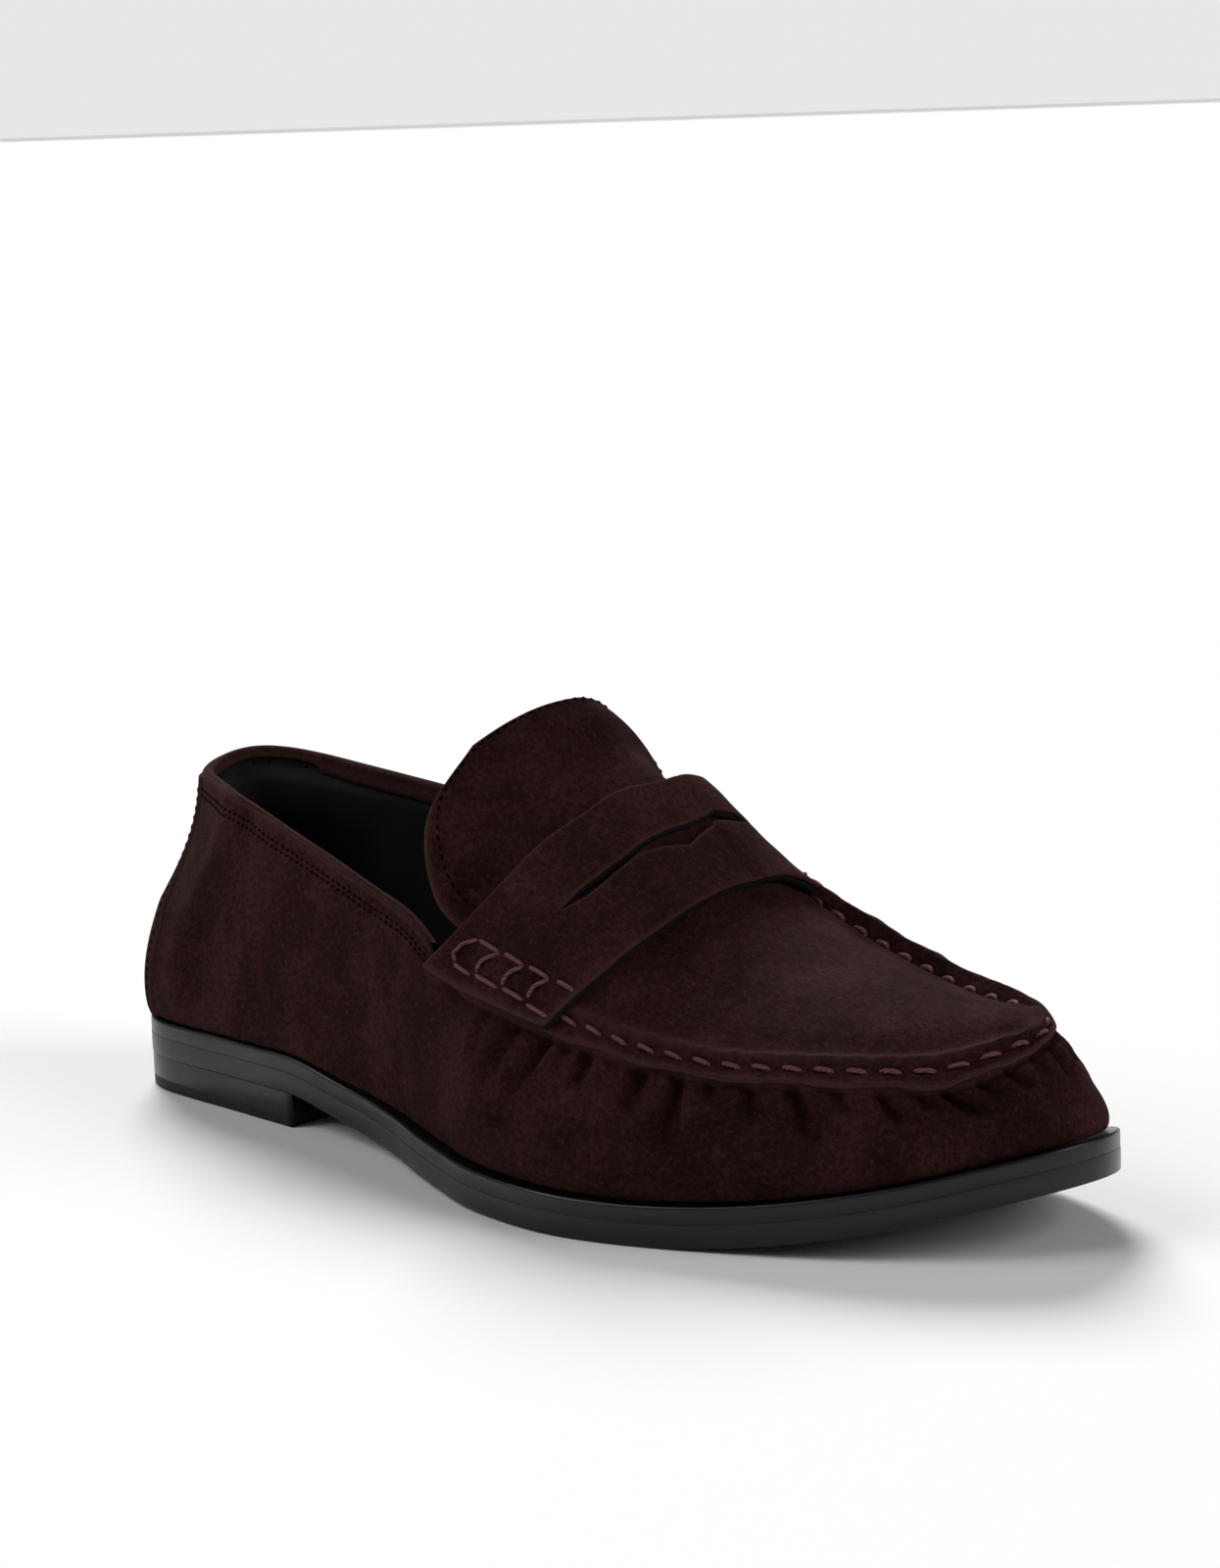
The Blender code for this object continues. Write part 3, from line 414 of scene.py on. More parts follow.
def tongue_grid(lines, across, sink):
    """Tongue surface from its hidden root to the free rounded end."""
    rows = []
    for near_a, near_x, crest_a, far_a, far_x, heights in TONGUE_ROWS:
        if heights is None:
            near_q = -(CREST_X - near_x) / (CREST_X + 38)
            far_q = (far_x - CREST_X) / 22.5
            near_z = instep_at(near_a, near_q, 0.0)[2] - TONGUE_SINK
            far_z = instep_at(far_a, far_q, 0.0)[2] - TONGUE_SINK
            crest_z = float(smooth(CREST, crest_a)) - 3.4
        else:
            near_z, crest_z, far_z = heights
        rows.append((near_a, near_x, near_z, crest_a, 14.0, crest_z, far_a, far_x, far_z))
    table = catmull(rows, np.linspace(0, len(rows) - 1, lines), False)
    near, crest, far = table[:, None, :3], table[:, None, 3:6], table[:, None, 6:]
    q = across[None, :, None]
    r = np.abs(q)
    edge = np.where(q <= 0, near, far)
    power = np.where(q <= 0, NEAR_POWER, FAR_POWER)
    mixed = crest * (1 - r) + edge * r
    mixed[..., 2:] = edge[..., 2:] + (crest[..., 2:] - edge[..., 2:]) * (1 - r**power)
    du = np.gradient(mixed, axis=0)
    dv = np.gradient(mixed, axis=1)
    normal = facing_up(unit(np.cross(du, dv)))
    return mixed - normal * sink


def backstay_rows(v):
    """Half width of the heel piece, in rows, at a height share: narrow at the top."""
    return BACKSTAY_TOP + (BACKSTAY_BASE - BACKSTAY_TOP) * (1 - ramp(v, 0.35, 0.85))


def world(points):
    """Points (a, x, z) in millimetres as scene places in metres."""
    points = np.asarray(points, float)
    return np.stack([points[..., 1], HALF_LENGTH - points[..., 0], points[..., 2]], -1) * MM


# Meshes.


def placed(name, data):
    """New object in the scene."""
    obj = bpy.data.objects.new(name, data)
    bpy.context.scene.collection.objects.link(obj)
    return obj


def piece(name, verts, faces, mats, slot, nodes, second=None, wear_and_highlight=None, body="shoe"):
    """One named piece on a body. Faces whose flag in second is set take the second material."""
    mesh = bpy.data.meshes.new(name)
    mesh.from_pydata(np.asarray(verts).tolist(), [], faces)
    mesh.polygons.foreach_set("use_smooth", np.ones(len(mesh.polygons), bool))
    for each in mats:
        mesh.materials.append(each)
    if second is not None:
        mesh.polygons.foreach_set("material_index", np.asarray(second, np.int32))
    if wear_and_highlight is not None:
        layer = mesh.attributes.new("wear_and_highlight", "FLOAT", "POINT")
        layer.data.foreach_set("value", np.asarray(wear_and_highlight, np.float32))
    mesh.update()
    obj = placed(name, mesh)
    if body:
        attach(obj, body)
    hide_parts(*nodes)
    return obj


def sheet_faces(rows, cols, wrap=False, keep=None, first=0, flip=False):
    faces = []
    for i in range(rows if wrap else rows - 1):
        n = (i + 1) % rows
        for j in range(cols - 1):
            if keep is not None and not keep[i, j]:
                continue
            ring = (i * cols + j, n * cols + j, n * cols + j + 1, i * cols + j + 1)
            ring = tuple(first + k for k in ring)
            faces.append(ring[::-1] if flip else ring)
    return faces


def closed_layer(upper, lower, keep=None, bulge=0.0):
    """Verts, faces and cut-edge flags of a closed layer with a rounded cut edge."""
    rows, cols = upper.shape[:2]
    top = world(upper).reshape(-1, 3)
    low = world(lower).reshape(-1, 3)
    faces = sheet_faces(rows, cols, keep=keep)
    count = rows * cols
    edges = set()
    for face in faces:
        edges.update(zip(face, face[1:] + face[:1]))
    rim = [(p, q) for p, q in edges if (q, p) not in edges]
    rim.sort()
    under = [tuple(count + k for k in reversed(face)) for face in faces]
    verts = [top, low]
    middle = {}
    extra = []
    out = {}
    for p, q in rim:
        along = top[q] - top[p]
        normal = top[p] - low[p]
        side = np.cross(along, normal)
        for k in (p, q):
            out[k] = out.get(k, 0) + side
    for k, side in out.items():
        middle[k] = 2 * count + len(extra)
        size = np.linalg.norm(side)
        push = side / size if size > 0 else side
        extra.append((top[k] + low[k]) / 2 + push * bulge * MM)
    walls = []
    for p, q in rim:
        walls.append((q, p, middle[p], middle[q]))
        walls.append((middle[q], middle[p], count + p, count + q))
    verts.append(np.array(extra))
    verts = np.concatenate(verts)
    every = faces + under + walls
    flags = np.zeros(len(every), int)
    flags[len(faces) + len(under):] = 1
    return verts, every, flags, top


def layer_piece(name, upper, lower, mats, slot, nodes, keep=None, bulge=0.25, wear_and_highlight=None,
                body="shoe"):
    verts, faces, flags, top = closed_layer(upper, lower, keep, bulge)
    # Per-point share of the lighter suede: worn edges, the painted ridge highlight, and the cut edge in
    # full.
    wear_and_highlight_share = np.zeros(len(verts))
    if wear_and_highlight is not None:
        wear_and_highlight_share[:len(top)] = np.asarray(wear_and_highlight).reshape(-1)
        wear_and_highlight_share[2 * len(top):] = 1.0
    used = np.zeros(len(verts), bool)
    for face in faces:
        used[list(face)] = True
    index = np.cumsum(used) - 1
    faces = [tuple(int(index[k]) for k in face) for face in faces]
    return closed_piece(name, verts[used], faces, mats, slot, nodes,
                        flags if len(mats) > 1 else None, wear_and_highlight_share[used], body)


def closed_piece(*details, **more):
    """A piece made of closed meshes, with every face turned outwards."""
    obj = piece(*details, **more)
    fix_normals(obj)
    return obj


def fix_normals(obj):
    """Merges points that coincide and turns every face outwards."""
    made = bmesh.new()
    made.from_mesh(obj.data)
    bmesh.ops.remove_doubles(made, verts=made.verts, dist=2e-6)
    bmesh.ops.dissolve_degenerate(made, edges=made.edges, dist=1e-7)
    bmesh.ops.recalc_face_normals(made, faces=made.faces)
    made.to_mesh(obj.data)
    made.free()


def cords(paths, radius, sides=7):
    """Round cords with domed ends along paths of (a, x, z) points, as one mesh."""
    verts = []
    faces = []
    turn = np.linspace(0, math.tau, sides, endpoint=False)
    for path in paths:
        line = world(path)
        run = unit(np.gradient(line, axis=0))
        side = unit(np.cross(run, (0.13, 0.21, 0.97)))
        over = np.cross(side, run)
        count = len(line)
        width = np.full(count, radius * MM)
        width[[0, -1]] *= 0.35
        width[[1, -2]] *= 0.85
        ring = np.cos(turn)[None, :, None] * side[:, None] + np.sin(turn)[None, :, None] * over[:, None]
        first = sum(len(made) for made in verts)
        verts.append((line[:, None] + ring * width[:, None, None]).reshape(-1, 3))
        for n in range(count - 1):
            for k in range(sides):
                j = (k + 1) % sides
                at = first + n * sides
                faces.append((at + k, at + j, at + sides + j, at + sides + k))
        faces.append(tuple(first + k for k in range(sides))[::-1])
        faces.append(tuple(first + (count - 1) * sides + k for k in range(sides)))
    return np.concatenate(verts), faces


def thread_piece(name, paths, radius, mats, nodes, body="shoe", sides=7):
    verts, faces = cords(paths, radius, sides)
    return closed_piece(name, verts, faces, mats, "thread", nodes, body=body)


# Materials.


def settings(node, values):
    """Sets inputs of a shader node by name."""
    for key, value in values.items():
        node.inputs[key].default_value = value


class Shader:
    """Short hand for building one procedural material."""

    def __init__(self, name, roughness, metallic=0.0):
        self.material = bpy.data.materials.new(name)
        self.material.use_nodes = True
        self.tree = self.material.node_tree
        self.main = self.tree.nodes["Principled BSDF"]
        settings(self.main, {"Roughness": roughness, "Metallic": metallic})
        self.place = self.tree.nodes.new("ShaderNodeTexCoord").outputs["Object"]

    def link(self, source, target):
        self.tree.links.new(source, target)

    def stretched(self, scale):
        node = self.tree.nodes.new("ShaderNodeMapping")
        node.inputs["Scale"].default_value = scale
        self.link(self.place, node.inputs["Vector"])
        return node.outputs["Vector"]

    def noise(self, scale, detail=4.0, rough=0.6, place=None):
        node = self.tree.nodes.new("ShaderNodeTexNoise")
        settings(node, {"Scale": scale, "Detail": detail, "Roughness": rough})
        self.link(place or self.place, node.inputs["Vector"])
        return node.outputs["Fac"]

    def spread(self, value, low, high, out_low=0.0, out_high=1.0):
        node = self.tree.nodes.new("ShaderNodeMapRange")
        settings(node, {"From Min": low, "From Max": high, "To Min": out_low, "To Max": out_high})
        self.link(value, node.inputs["Value"])
        return node.outputs["Result"]

    def ramp(self, value, stops):
        node = self.tree.nodes.new("ShaderNodeValToRGB")
        ramp_node = node.color_ramp
        while len(ramp_node.elements) < len(stops):
            ramp_node.elements.new(0.5)
        for element, (at, colour) in zip(ramp_node.elements, stops):
            element.position = at
            element.color = (*colour, 1.0)
        self.link(value, node.inputs["Fac"])
        return node.outputs["Color"]

    def mix(self, first, second, share, kind="MIX"):
        node = self.tree.nodes.new("ShaderNodeMix")
        node.data_type = "RGBA"
        node.blend_type = kind
        colours = [s for s in node.inputs if s.type == "RGBA"]
        for socket, value in zip(colours, (first, second)):
            if isinstance(value, tuple):
                socket.default_value = (*value, 1.0)
            else:
                self.link(value, socket)
        if isinstance(share, float):
            node.inputs["Factor"].default_value = share
        else:
            self.link(share, node.inputs["Factor"])
        return [s for s in node.outputs if s.type == "RGBA"][0]

    def attribute(self, name):
        node = self.tree.nodes.new("ShaderNodeAttribute")
        node.attribute_name = name
        return node.outputs["Fac"]

    def colour(self, source):
        self.link(source, self.main.inputs["Base Color"])

    def roughness(self, source):
        self.link(source, self.main.inputs["Roughness"])

    def bump(self, layers):
        """Bumps stacked from (height, strength, depth in metres)."""
        last = None
        for height, strength, depth in layers:
            node = self.tree.nodes.new("ShaderNodeBump")
            settings(node, {"Strength": strength, "Distance": depth})
            self.link(height, node.inputs["Height"])
            if last:
                self.link(last, node.inputs["Normal"])
            last = node.outputs["Normal"]
        self.link(last, self.main.inputs["Normal"])


def scaled(colour, amount):
    """A colour made lighter or darker."""
    return tuple(min(1.0, part * amount) for part in colour)


def suede_material(name, base, sheen=0.03):
    """Napped suede: cloudy brushed patches, a fine pile, worn edges and a painted highlight on the apron
    ridge.
    """
    made = Shader(name, 0.95)
    clouds = made.noise(38, 4.0, 0.55)
    patches = made.noise(105, 4.0, 0.6)
    pile = made.noise(1050, 5.0, 0.8, made.stretched((1.0, 0.55, 0.8)))
    fibre = made.noise(2600, 3.0, 0.7)
    cloudy = made.ramp(clouds, ((0.36, scaled(base, 0.6)), (0.5, base), (0.64, scaled(base, 1.6))))
    patched = made.mix(cloudy, scaled(base, 2.1), made.spread(patches, 0.5, 0.68, 0.0, 0.4))
    shaded = made.mix(patched, scaled(base, 0.35), made.spread(patches, 0.46, 0.32, 0.0, 0.32))
    napped = made.mix(shaded, scaled(base, 0.25), made.spread(pile, 0.52, 0.36, 0.0, 0.75))
    flecks = made.mix(napped, scaled(base, 3.6), made.spread(pile, 0.53, 0.70, 0.0, 0.5))
    fuzzed = made.mix(flecks, scaled(base, 3.0), made.spread(fibre, 0.56, 0.72, 0.0, 0.35))
    # Mixes in the lighter colour where the per-point attribute marks worn edges or the painted ridge
    # highlight.
    worn_and_highlighted = made.mix(fuzzed, WORN_EDGE_AND_HIGHLIGHT, made.spread(made.attribute("wear_and_highlight"), 0.0, 1.0, 0.0, 0.7))
    made.colour(worn_and_highlighted)
    made.bump(((patches, 0.4, 0.0008), (pile, 0.9, 0.0006), (fibre, 0.5, 0.0002)))
    settings(made.main, {"Specular IOR Level": 0.04, "Sheen Weight": sheen,
                         "Sheen Roughness": 0.45, "Sheen Tint": (0.6, 0.25, 0.25, 1.0)})
    return made.material


def grained_material(name, base, roughness, scale, grain=0.4, spread=0.06, light=1.5):
    """Leather, rubber, board or cork: blotches in the colour and a fine grain."""
    made = Shader(name, roughness)
    blotch = made.noise(scale * 0.12, 3.0)
    grains = made.noise(scale, 5.0, 0.65)
    made.colour(made.mix(made.ramp(blotch, ((0.3, scaled(base, 0.8)), (0.7, scaled(base, 1.2)))),
                         scaled(base, light), made.spread(grains, 0.45, 0.75, 0.0, 0.5)))
    made.roughness(made.spread(grains, 0.3, 0.7, roughness - spread, roughness + spread))
    made.bump(((grains, grain, 0.0003), (blotch, 0.15, 0.0006)))
    settings(made.main, {"Specular IOR Level": 0.25})
    return made.material


def polished_material(name, base, roughness, lines):
    """Inked and burnished sole edge with faint lengthwise brush marks."""
    made = Shader(name, roughness)
    marks = made.noise(420, 3.0, 0.6, made.stretched(lines))
    haze = made.noise(60, 3.0)
    made.colour(made.ramp(haze, ((0.3, scaled(base, 0.8)), (0.7, scaled(base, 1.3)))))
    made.roughness(made.spread(haze, 0.3, 0.7, roughness - 0.05, roughness + 0.09))
    made.bump(((marks, 0.22, 0.00025), (haze, 0.12, 0.0012)))
    settings(made.main, {"Specular IOR Level": 0.3, "Coat Weight": 0.08, "Coat Roughness": 0.18})
    return made.material


def thread_material(name, base, roughness=0.62, shine=0.3):
    """Waxed thread laid up from twisted strands."""
    made = Shader(name, roughness)
    settings(made.main, {"Specular IOR Level": shine})
    wave = made.tree.nodes.new("ShaderNodeTexWave")
    wave.bands_direction = "DIAGONAL"
    settings(wave, {"Scale": 620, "Distortion": 1.2, "Detail": 2.0})
    made.link(made.place, wave.inputs["Vector"])
    fuzz = made.noise(2600, 3.0)
    strands = made.ramp(wave.outputs["Fac"], ((0.1, scaled(base, 0.5)), (0.7, scaled(base, 1.25))))
    made.colour(made.mix(strands, scaled(base, 1.9), made.spread(fuzz, 0.55, 0.75, 0.0, 0.4)))
    made.bump(((wave.outputs["Fac"], 0.7, 0.0003), (fuzz, 0.3, 0.0001)))
    return made.material


def steel_material(name):
    made = Shader(name, 0.32, 1.0)
    brushed = made.noise(900, 3.0, 0.6, made.stretched((1.0, 0.08, 1.0)))
    made.colour(made.ramp(brushed, ((0.3, (0.42, 0.42, 0.44)), (0.7, (0.6, 0.6, 0.62)))))
    made.roughness(made.spread(brushed, 0.3, 0.7, 0.24, 0.42))
    made.bump(((brushed, 0.2, 0.00008),))
    return made.material


def make_materials():
    return {
        "suede": suede_material("suede_nap", SUEDE),
        "cut": suede_material("suede_cut_edge", (0.030, 0.013, 0.012), 0.05),
        "dark_cut": suede_material("suede_dark_edge", (0.008, 0.0035, 0.0035), 0.02),
        "lining_black": grained_material("lining_leather", (0.0014, 0.0013, 0.0014), 0.8, 1500),
        "lining_tan": grained_material("lining_natural", (0.16, 0.11, 0.075), 0.8, 1200),
        "edge_black": grained_material("backing_black", (0.002, 0.0016, 0.0016), 0.9, 1500),
        "sole_black": polished_material("sole_edge", (0.0045, 0.0045, 0.005), 0.3, (1.0, 0.12, 1.6)),
        "heel_black": polished_material("heel_edge", (0.0055, 0.0055, 0.006), 0.3, (1.0, 1.0, 0.2)),
        "rubber_black": grained_material("top_lift_rubber", (0.007, 0.007, 0.007), 0.6, 900),
        "cork": grained_material("cork", (0.28, 0.17, 0.09), 0.9, 420, 0.8, 0.05, 0.45),
        "board": grained_material("fibre_board", (0.35, 0.27, 0.18), 0.9, 800),
        "fibre": grained_material("stiffener", (0.4, 0.36, 0.3), 0.85, 900),
        "foam": grained_material("foam", (0.5, 0.48, 0.42), 0.95, 2200, 0.9),
        "thread": thread_material("seam_thread", (0.135, 0.042, 0.046)),
        # Nearly black: partly the thread's own colour, partly painted shade of the needle holes it runs
        # through.
        "fine_thread": thread_material("fine_thread", (0.0022, 0.0008, 0.0008), 0.95, 0.02),
        "steel": steel_material("steel"),
    }


# The sole.


def spine(a):
    """Middle of the sole at distance a, held off the two ends."""
    a = np.clip(a, 22.0, 272.0)
    near_rows = np.linspace(0, ROW_TOE, 300)
    far_rows = np.linspace(len(ROWS), ROW_TOE, 300)
    near = outline(near_rows)[0]
    far = outline(far_rows)[0]
    x = (np.interp(a, near[:, 0], near[:, 1]) + np.interp(a, far[:, 0], far[:, 1])) / 2
    return np.stack([a, x], -1)


def sole_ring(rows, profile, base):
    """Closed body swept round the sole: profile holds (inset, height) points."""
    rings = []
    for inset, height in profile:
        flat, _ = outline(rows, inset)
        rings.append(np.concatenate([flat, (base(flat[:, 0]) + height)[:, None]], 1))
    return np.stack(rings, 1)


def cap(rings, end, base, height):
    """Extra rings that close one side of a swept body towards the middle line."""
    edge = rings[:, end]
    goal = spine(edge[:, 0])
    made = []
    for share in (0.45, 0.8, 1.0):
        flat = edge[:, :2] * (1 - share) + goal * share
        made.append(np.concatenate([flat, (base(flat[:, 0]) + height)[:, None]], 1))
    return made


def swept(name, profile, base, mats, slot, nodes, caps):
    """Body swept round the sole, closed by caps or into a ring."""
    rows = np.linspace(0, len(ROWS), 541)[:-1]
    rings = sole_ring(rows, profile, base)
    columns = [rings[:, k] for k in range(rings.shape[1])]
    if caps:
        columns = cap(rings, 0, base, profile[0][1])[::-1] + columns
        columns += cap(rings, -1, base, profile[-1][1])
    else:
        columns += columns[:1]
    grid = np.stack(columns, 1)
    verts = world(grid).reshape(-1, 3)
    faces = sheet_faces(*grid.shape[:2], wrap=True)
    return closed_piece(name, verts, faces, mats, slot, nodes)


def round_edge(inset, low, high, foot, top, side=0.0, steps=5):
    """Profile up a side with edges rounded to radii foot and top, bulging by side between."""
    points = []
    for turn in np.linspace(-90, 0, steps):
        t = math.radians(turn)
        points.append((inset + foot - foot * math.cos(t), low + foot + foot * math.sin(t)))
    points.append((inset - side, (low + high) / 2))
    for turn in np.linspace(0, 90, steps):
        t = math.radians(turn)
        points.append((inset + top - top * math.cos(t), high - top + top * math.sin(t)))
    return points


def sole(mats):
    """Outsole with closed faces, welt as a ring, and the heel."""
    profile = round_edge(0.0, 0.0, OUTSOLE_THICK + 0.1, 0.25, 0.06, 0.05)
    swept("outsole_look", profile, sole_z, [mats["sole_black"]], "sole_black", ["outsole"], True)
    low = OUTSOLE_THICK + GAP
    profile = round_edge(0.06, low - 0.22, low + WELT_THICK, 0.06, 0.7, 0.05)
    profile += [(2.6, low + WELT_THICK - 0.1), (WELT_RING, low + WELT_THICK)]
    profile += [(WELT_RING, low - 0.22)]
    swept("welt_look", profile, sole_z, [mats["sole_black"]], "sole_black", ["welt"], False)
    heel(mats)


def heel_loop(inset, z, count=150):
    """Closed heel outline at one height: round the back, then straight across the breast."""
    rows = np.linspace(-len(ROWS) / 2, len(ROWS) / 2, 1600)
    flat, _ = outline(rows % len(ROWS), inset)
    front = HEEL_LENGTH - inset * 0.6
    flat = flat[flat[:, 0] < front]
    first, last = flat[0], flat[-1]
    share = np.linspace(0, 1, 24)[1:-1, None]
    sag = 2.2 * np.sin(np.pi * share)
    breast = np.concatenate([np.full_like(share, front) - sag,
                             last[1] * (1 - share) + first[1] * share], 1)
    loop = np.concatenate([flat, breast])
    step = np.linalg.norm(np.diff(loop, axis=0, append=loop[:1]), axis=1)
    along = np.concatenate([[0], np.cumsum(step)])
    where = np.linspace(0, along[-1], count, endpoint=False)
    ring = np.concatenate([loop, loop[:1]])
    out = np.stack([np.interp(where, along, ring[:, k]) for k in (0, 1)], 1)
    return np.concatenate([out, np.full((count, 1), float(z))], 1)


def stacked(name, profile, mats, slot, nodes):
    """Closed body built of heel outlines."""
    loops = [heel_loop(inset, z) for inset, z in profile]
    count = len(loops[0])
    verts = world(np.concatenate(loops))
    faces = []
    for n in range(len(loops) - 1):
        for k in range(count):
            j = (k + 1) % count
            faces.append((n * count + k, n * count + j, (n + 1) * count + j, (n + 1) * count + k))
    faces.append(tuple(range(count))[::-1])
    faces.append(tuple((len(loops) - 1) * count + k for k in range(count)))
    return closed_piece(name, verts, faces, mats, slot, nodes)


def heel(mats):
    """Heel block over its top lift."""
    stacked("heel_block_look", round_edge(0.12, TOP_LIFT_THICK + 0.02, HEEL_TOP - 0.02, 0.04, 0.04, 0.0, 4),
            [mats["heel_black"]], "heel_black", ["heel_block"])
    stacked("top_lift_look", round_edge(0.2, 0.0, TOP_LIFT_THICK, 0.5, 0.05, 0.0, 4),
            [mats["rubber_black"]], "rubber_black", ["heel_top_lift"])


# The upper.


def pucker(where, v):
    """Height in millimetres of the gathered leather under the apron edge."""
    total = np.zeros(np.broadcast(where, v).shape)
    for top, foot, low, deep in FOLDS:
        share = np.clip((v - low) / (1 - low), 0, 1)
        centre = foot + (top - foot) * share
        width = 0.11 + 0.17 * (1 - share)
        fade = ramp(v, low - 0.12, low + 0.35 * (1 - low))
        total -= FOLD_DEEP * deep * fade * np.exp(-((where - centre) / width) ** 2)
    front = ramp(where, 11.0, 12.5) * (1 - ramp(where, 33.0, 35.0))
    puff = ramp(v, 0.45, 0.85) * (1 - 0.6 * ramp(v, 0.93, 1.0))
    total = total * (1 - 0.5 * ramp(v, 0.96, 1.0)) + 2.2 * front * puff
    return np.maximum(total, -FOLD_LIMIT)


def crease(where, v):
    """Soft upright crease behind the ankle and slow waves over the quarter."""
    centre = 3.85 + 0.45 * ramp(v, 0.35, 0.9) + 0.2 * (1 - ramp(v, 0.05, 0.3))
    fold = np.exp(-((where - centre + 0.25) / 0.3) ** 2) - np.exp(-((where - centre - 0.5) / 0.4) ** 2)
    fold = 0.85 * fold * ramp(v, 0.02, 0.15)
    slow = 0.22 * np.sin(where * 1.9 + 1.1) * np.sin(v * 5.2 + where * 0.7)
    return fold + slow * np.sin(np.pi * np.clip(v, 0, 1))


def open_share(rows):
    """One along the open topline and nought where the apron covers the wall."""
    turned = rows % len(ROWS)
    return 1 - ramp(turned, ROW_NEAR_STRAP - 0.3, ROW_NEAR_STRAP + 0.6) * (
        1 - ramp(turned, ROW_FAR_STRAP - 0.6, ROW_FAR_STRAP + 0.3))


def under_lip(rows):
    """Points inside the apron's thickness that the front of the wall runs up to."""
    k = np.linspace(0, len(LIP) - 1, 1200)
    edge = lip(k)
    top = wall(rows, 1.0)
    apart = ((edge[None, :, :2] - top[:, None, :2]) ** 2).sum(-1)
    near_k = k[np.argmin(apart, 1)]
    inner = 1 - 2.4 / instep_reach(near_k)
    goal = instep(near_k, inner)
    goal[:, 2] += far_flange(near_k, np.full_like(near_k, 2.0)) - APRON_THICK * 0.5
    middle = instep(near_k, 1 - 1.1 / instep_reach(near_k))
    middle[:, 2] += far_flange(near_k, np.full_like(near_k, 1.1)) - APRON_THICK - 0.15
    return middle, goal


def wall_skin(rows):
    """Outer skin of the upper with a rolled top edge and a tucked foot."""
    v = np.linspace(0.0, 1.0, 86)
    where, vv = np.meshgrid(rows, v, indexing="ij")
    skin = wall_at(where, vv, -(pucker(where, vv) + crease(where, vv)))
    inwards = wall_at(rows, 1.0, 1.0) - wall_at(rows, 1.0, 0.0)
    roll = []
    radius = COLLAR_ROLL * (0.15 + 0.85 * open_share(rows))[:, None]
    for turn in np.linspace(0, 95, 9)[1:]:
        t = math.radians(turn)
        spot = skin[:, -1] + inwards * radius * (1 - math.cos(t))
        spot = spot + UP * radius * math.sin(t)
        roll.append(spot)
    roll = np.stack(roll, 1)
    covered = 1 - open_share(rows)[:, None, None]
    middle, goal = under_lip(rows)
    share = np.linspace(0, 1, roll.shape[1] + 1)[1:, None]
    top = skin[:, -1:]
    joined = top * (1 - share) ** 2 + middle[:, None] * 2 * share * (1 - share)
    joined = joined + goal[:, None] * share**2
    roll = roll * (1 - covered) + joined * covered
    foot = wall_at(rows, 0.0, FOOT_TUCK)
    return np.concatenate([foot[:, None], skin, roll], 1)


def upper(mats):
    """Vamp with the outer side, inner quarter, binding, linings and heel piece."""
    seam = ROW_FAR_STRAP + 2.0
    rows = np.linspace(0.0, seam, 780)
    skin_piece("vamp_look", wall_skin(rows), mats, ["vamp"])
    rows = np.linspace(seam - 0.12, len(ROWS), 190)
    grid = wall_skin(rows)
    step = np.exp(-np.clip(rows - rows[0], 0, None) / 0.25)[:, None, None]
    middle = np.array([150.0, 8.0, 0.0])
    away = grid - middle
    away[..., 2] = 0
    away = unit(away)
    grid = grid + away * QUARTER_STEP * step
    skin_piece("inner_quarter_look", grid, mats, ["inner_quarter"])
    binding(mats)
    lining(mats)
    foot_beds(mats)
    heel_strip(mats)


def skin_piece(name, grid, mats, nodes):
    """Open skin of the upper, facing away from the middle of the shoe."""
    spots = world(grid)
    verts = spots.reshape(-1, 3)
    faces = sheet_faces(*grid.shape[:2])
    corner = spots[:-1, :-1]
    normal = np.cross(spots[1:, :-1] - corner, spots[:-1, 1:] - corner).reshape(-1, 3)
    away = corner.reshape(-1, 3) - verts.mean(0)
    away[:, 2] = 0
    if (normal * away).sum() < 0:
        faces = [face[::-1] for face in faces]
    wear_and_highlight = np.zeros(grid.shape[:2])
    wear_and_highlight[:, -9:-3] = 0.35
    return piece(name, verts, faces, [mats["suede"]], "suede", nodes, wear_and_highlight=wear_and_highlight.reshape(-1))


def padding(rows):
    """Share of collar foam, full at the heel and fading forwards."""
    turned = (rows + len(ROWS) / 2) % len(ROWS) - len(ROWS) / 2
    return 1 - ramp(np.abs(turned), 3.0, 6.5)


def lining_depth(rows, v):
    swell = padding(rows)[:, None] * np.sin(np.pi * ramp(v, 0.6, 1.05))[None, :] ** 0.8
    under_binding = ramp(v, 0.9, 0.96)[None, :]
    full = LINING_IN - 0.4 + COLLAR_PAD * swell
    return full * (1 - under_binding) + 2.7 * under_binding


def open_rows(count):
    """Rows of the open topline, from the inner strap end to the outer one."""
    return np.linspace(ROW_FAR_STRAP + 0.05 - len(ROWS), ROW_NEAR_STRAP - 0.05, count)


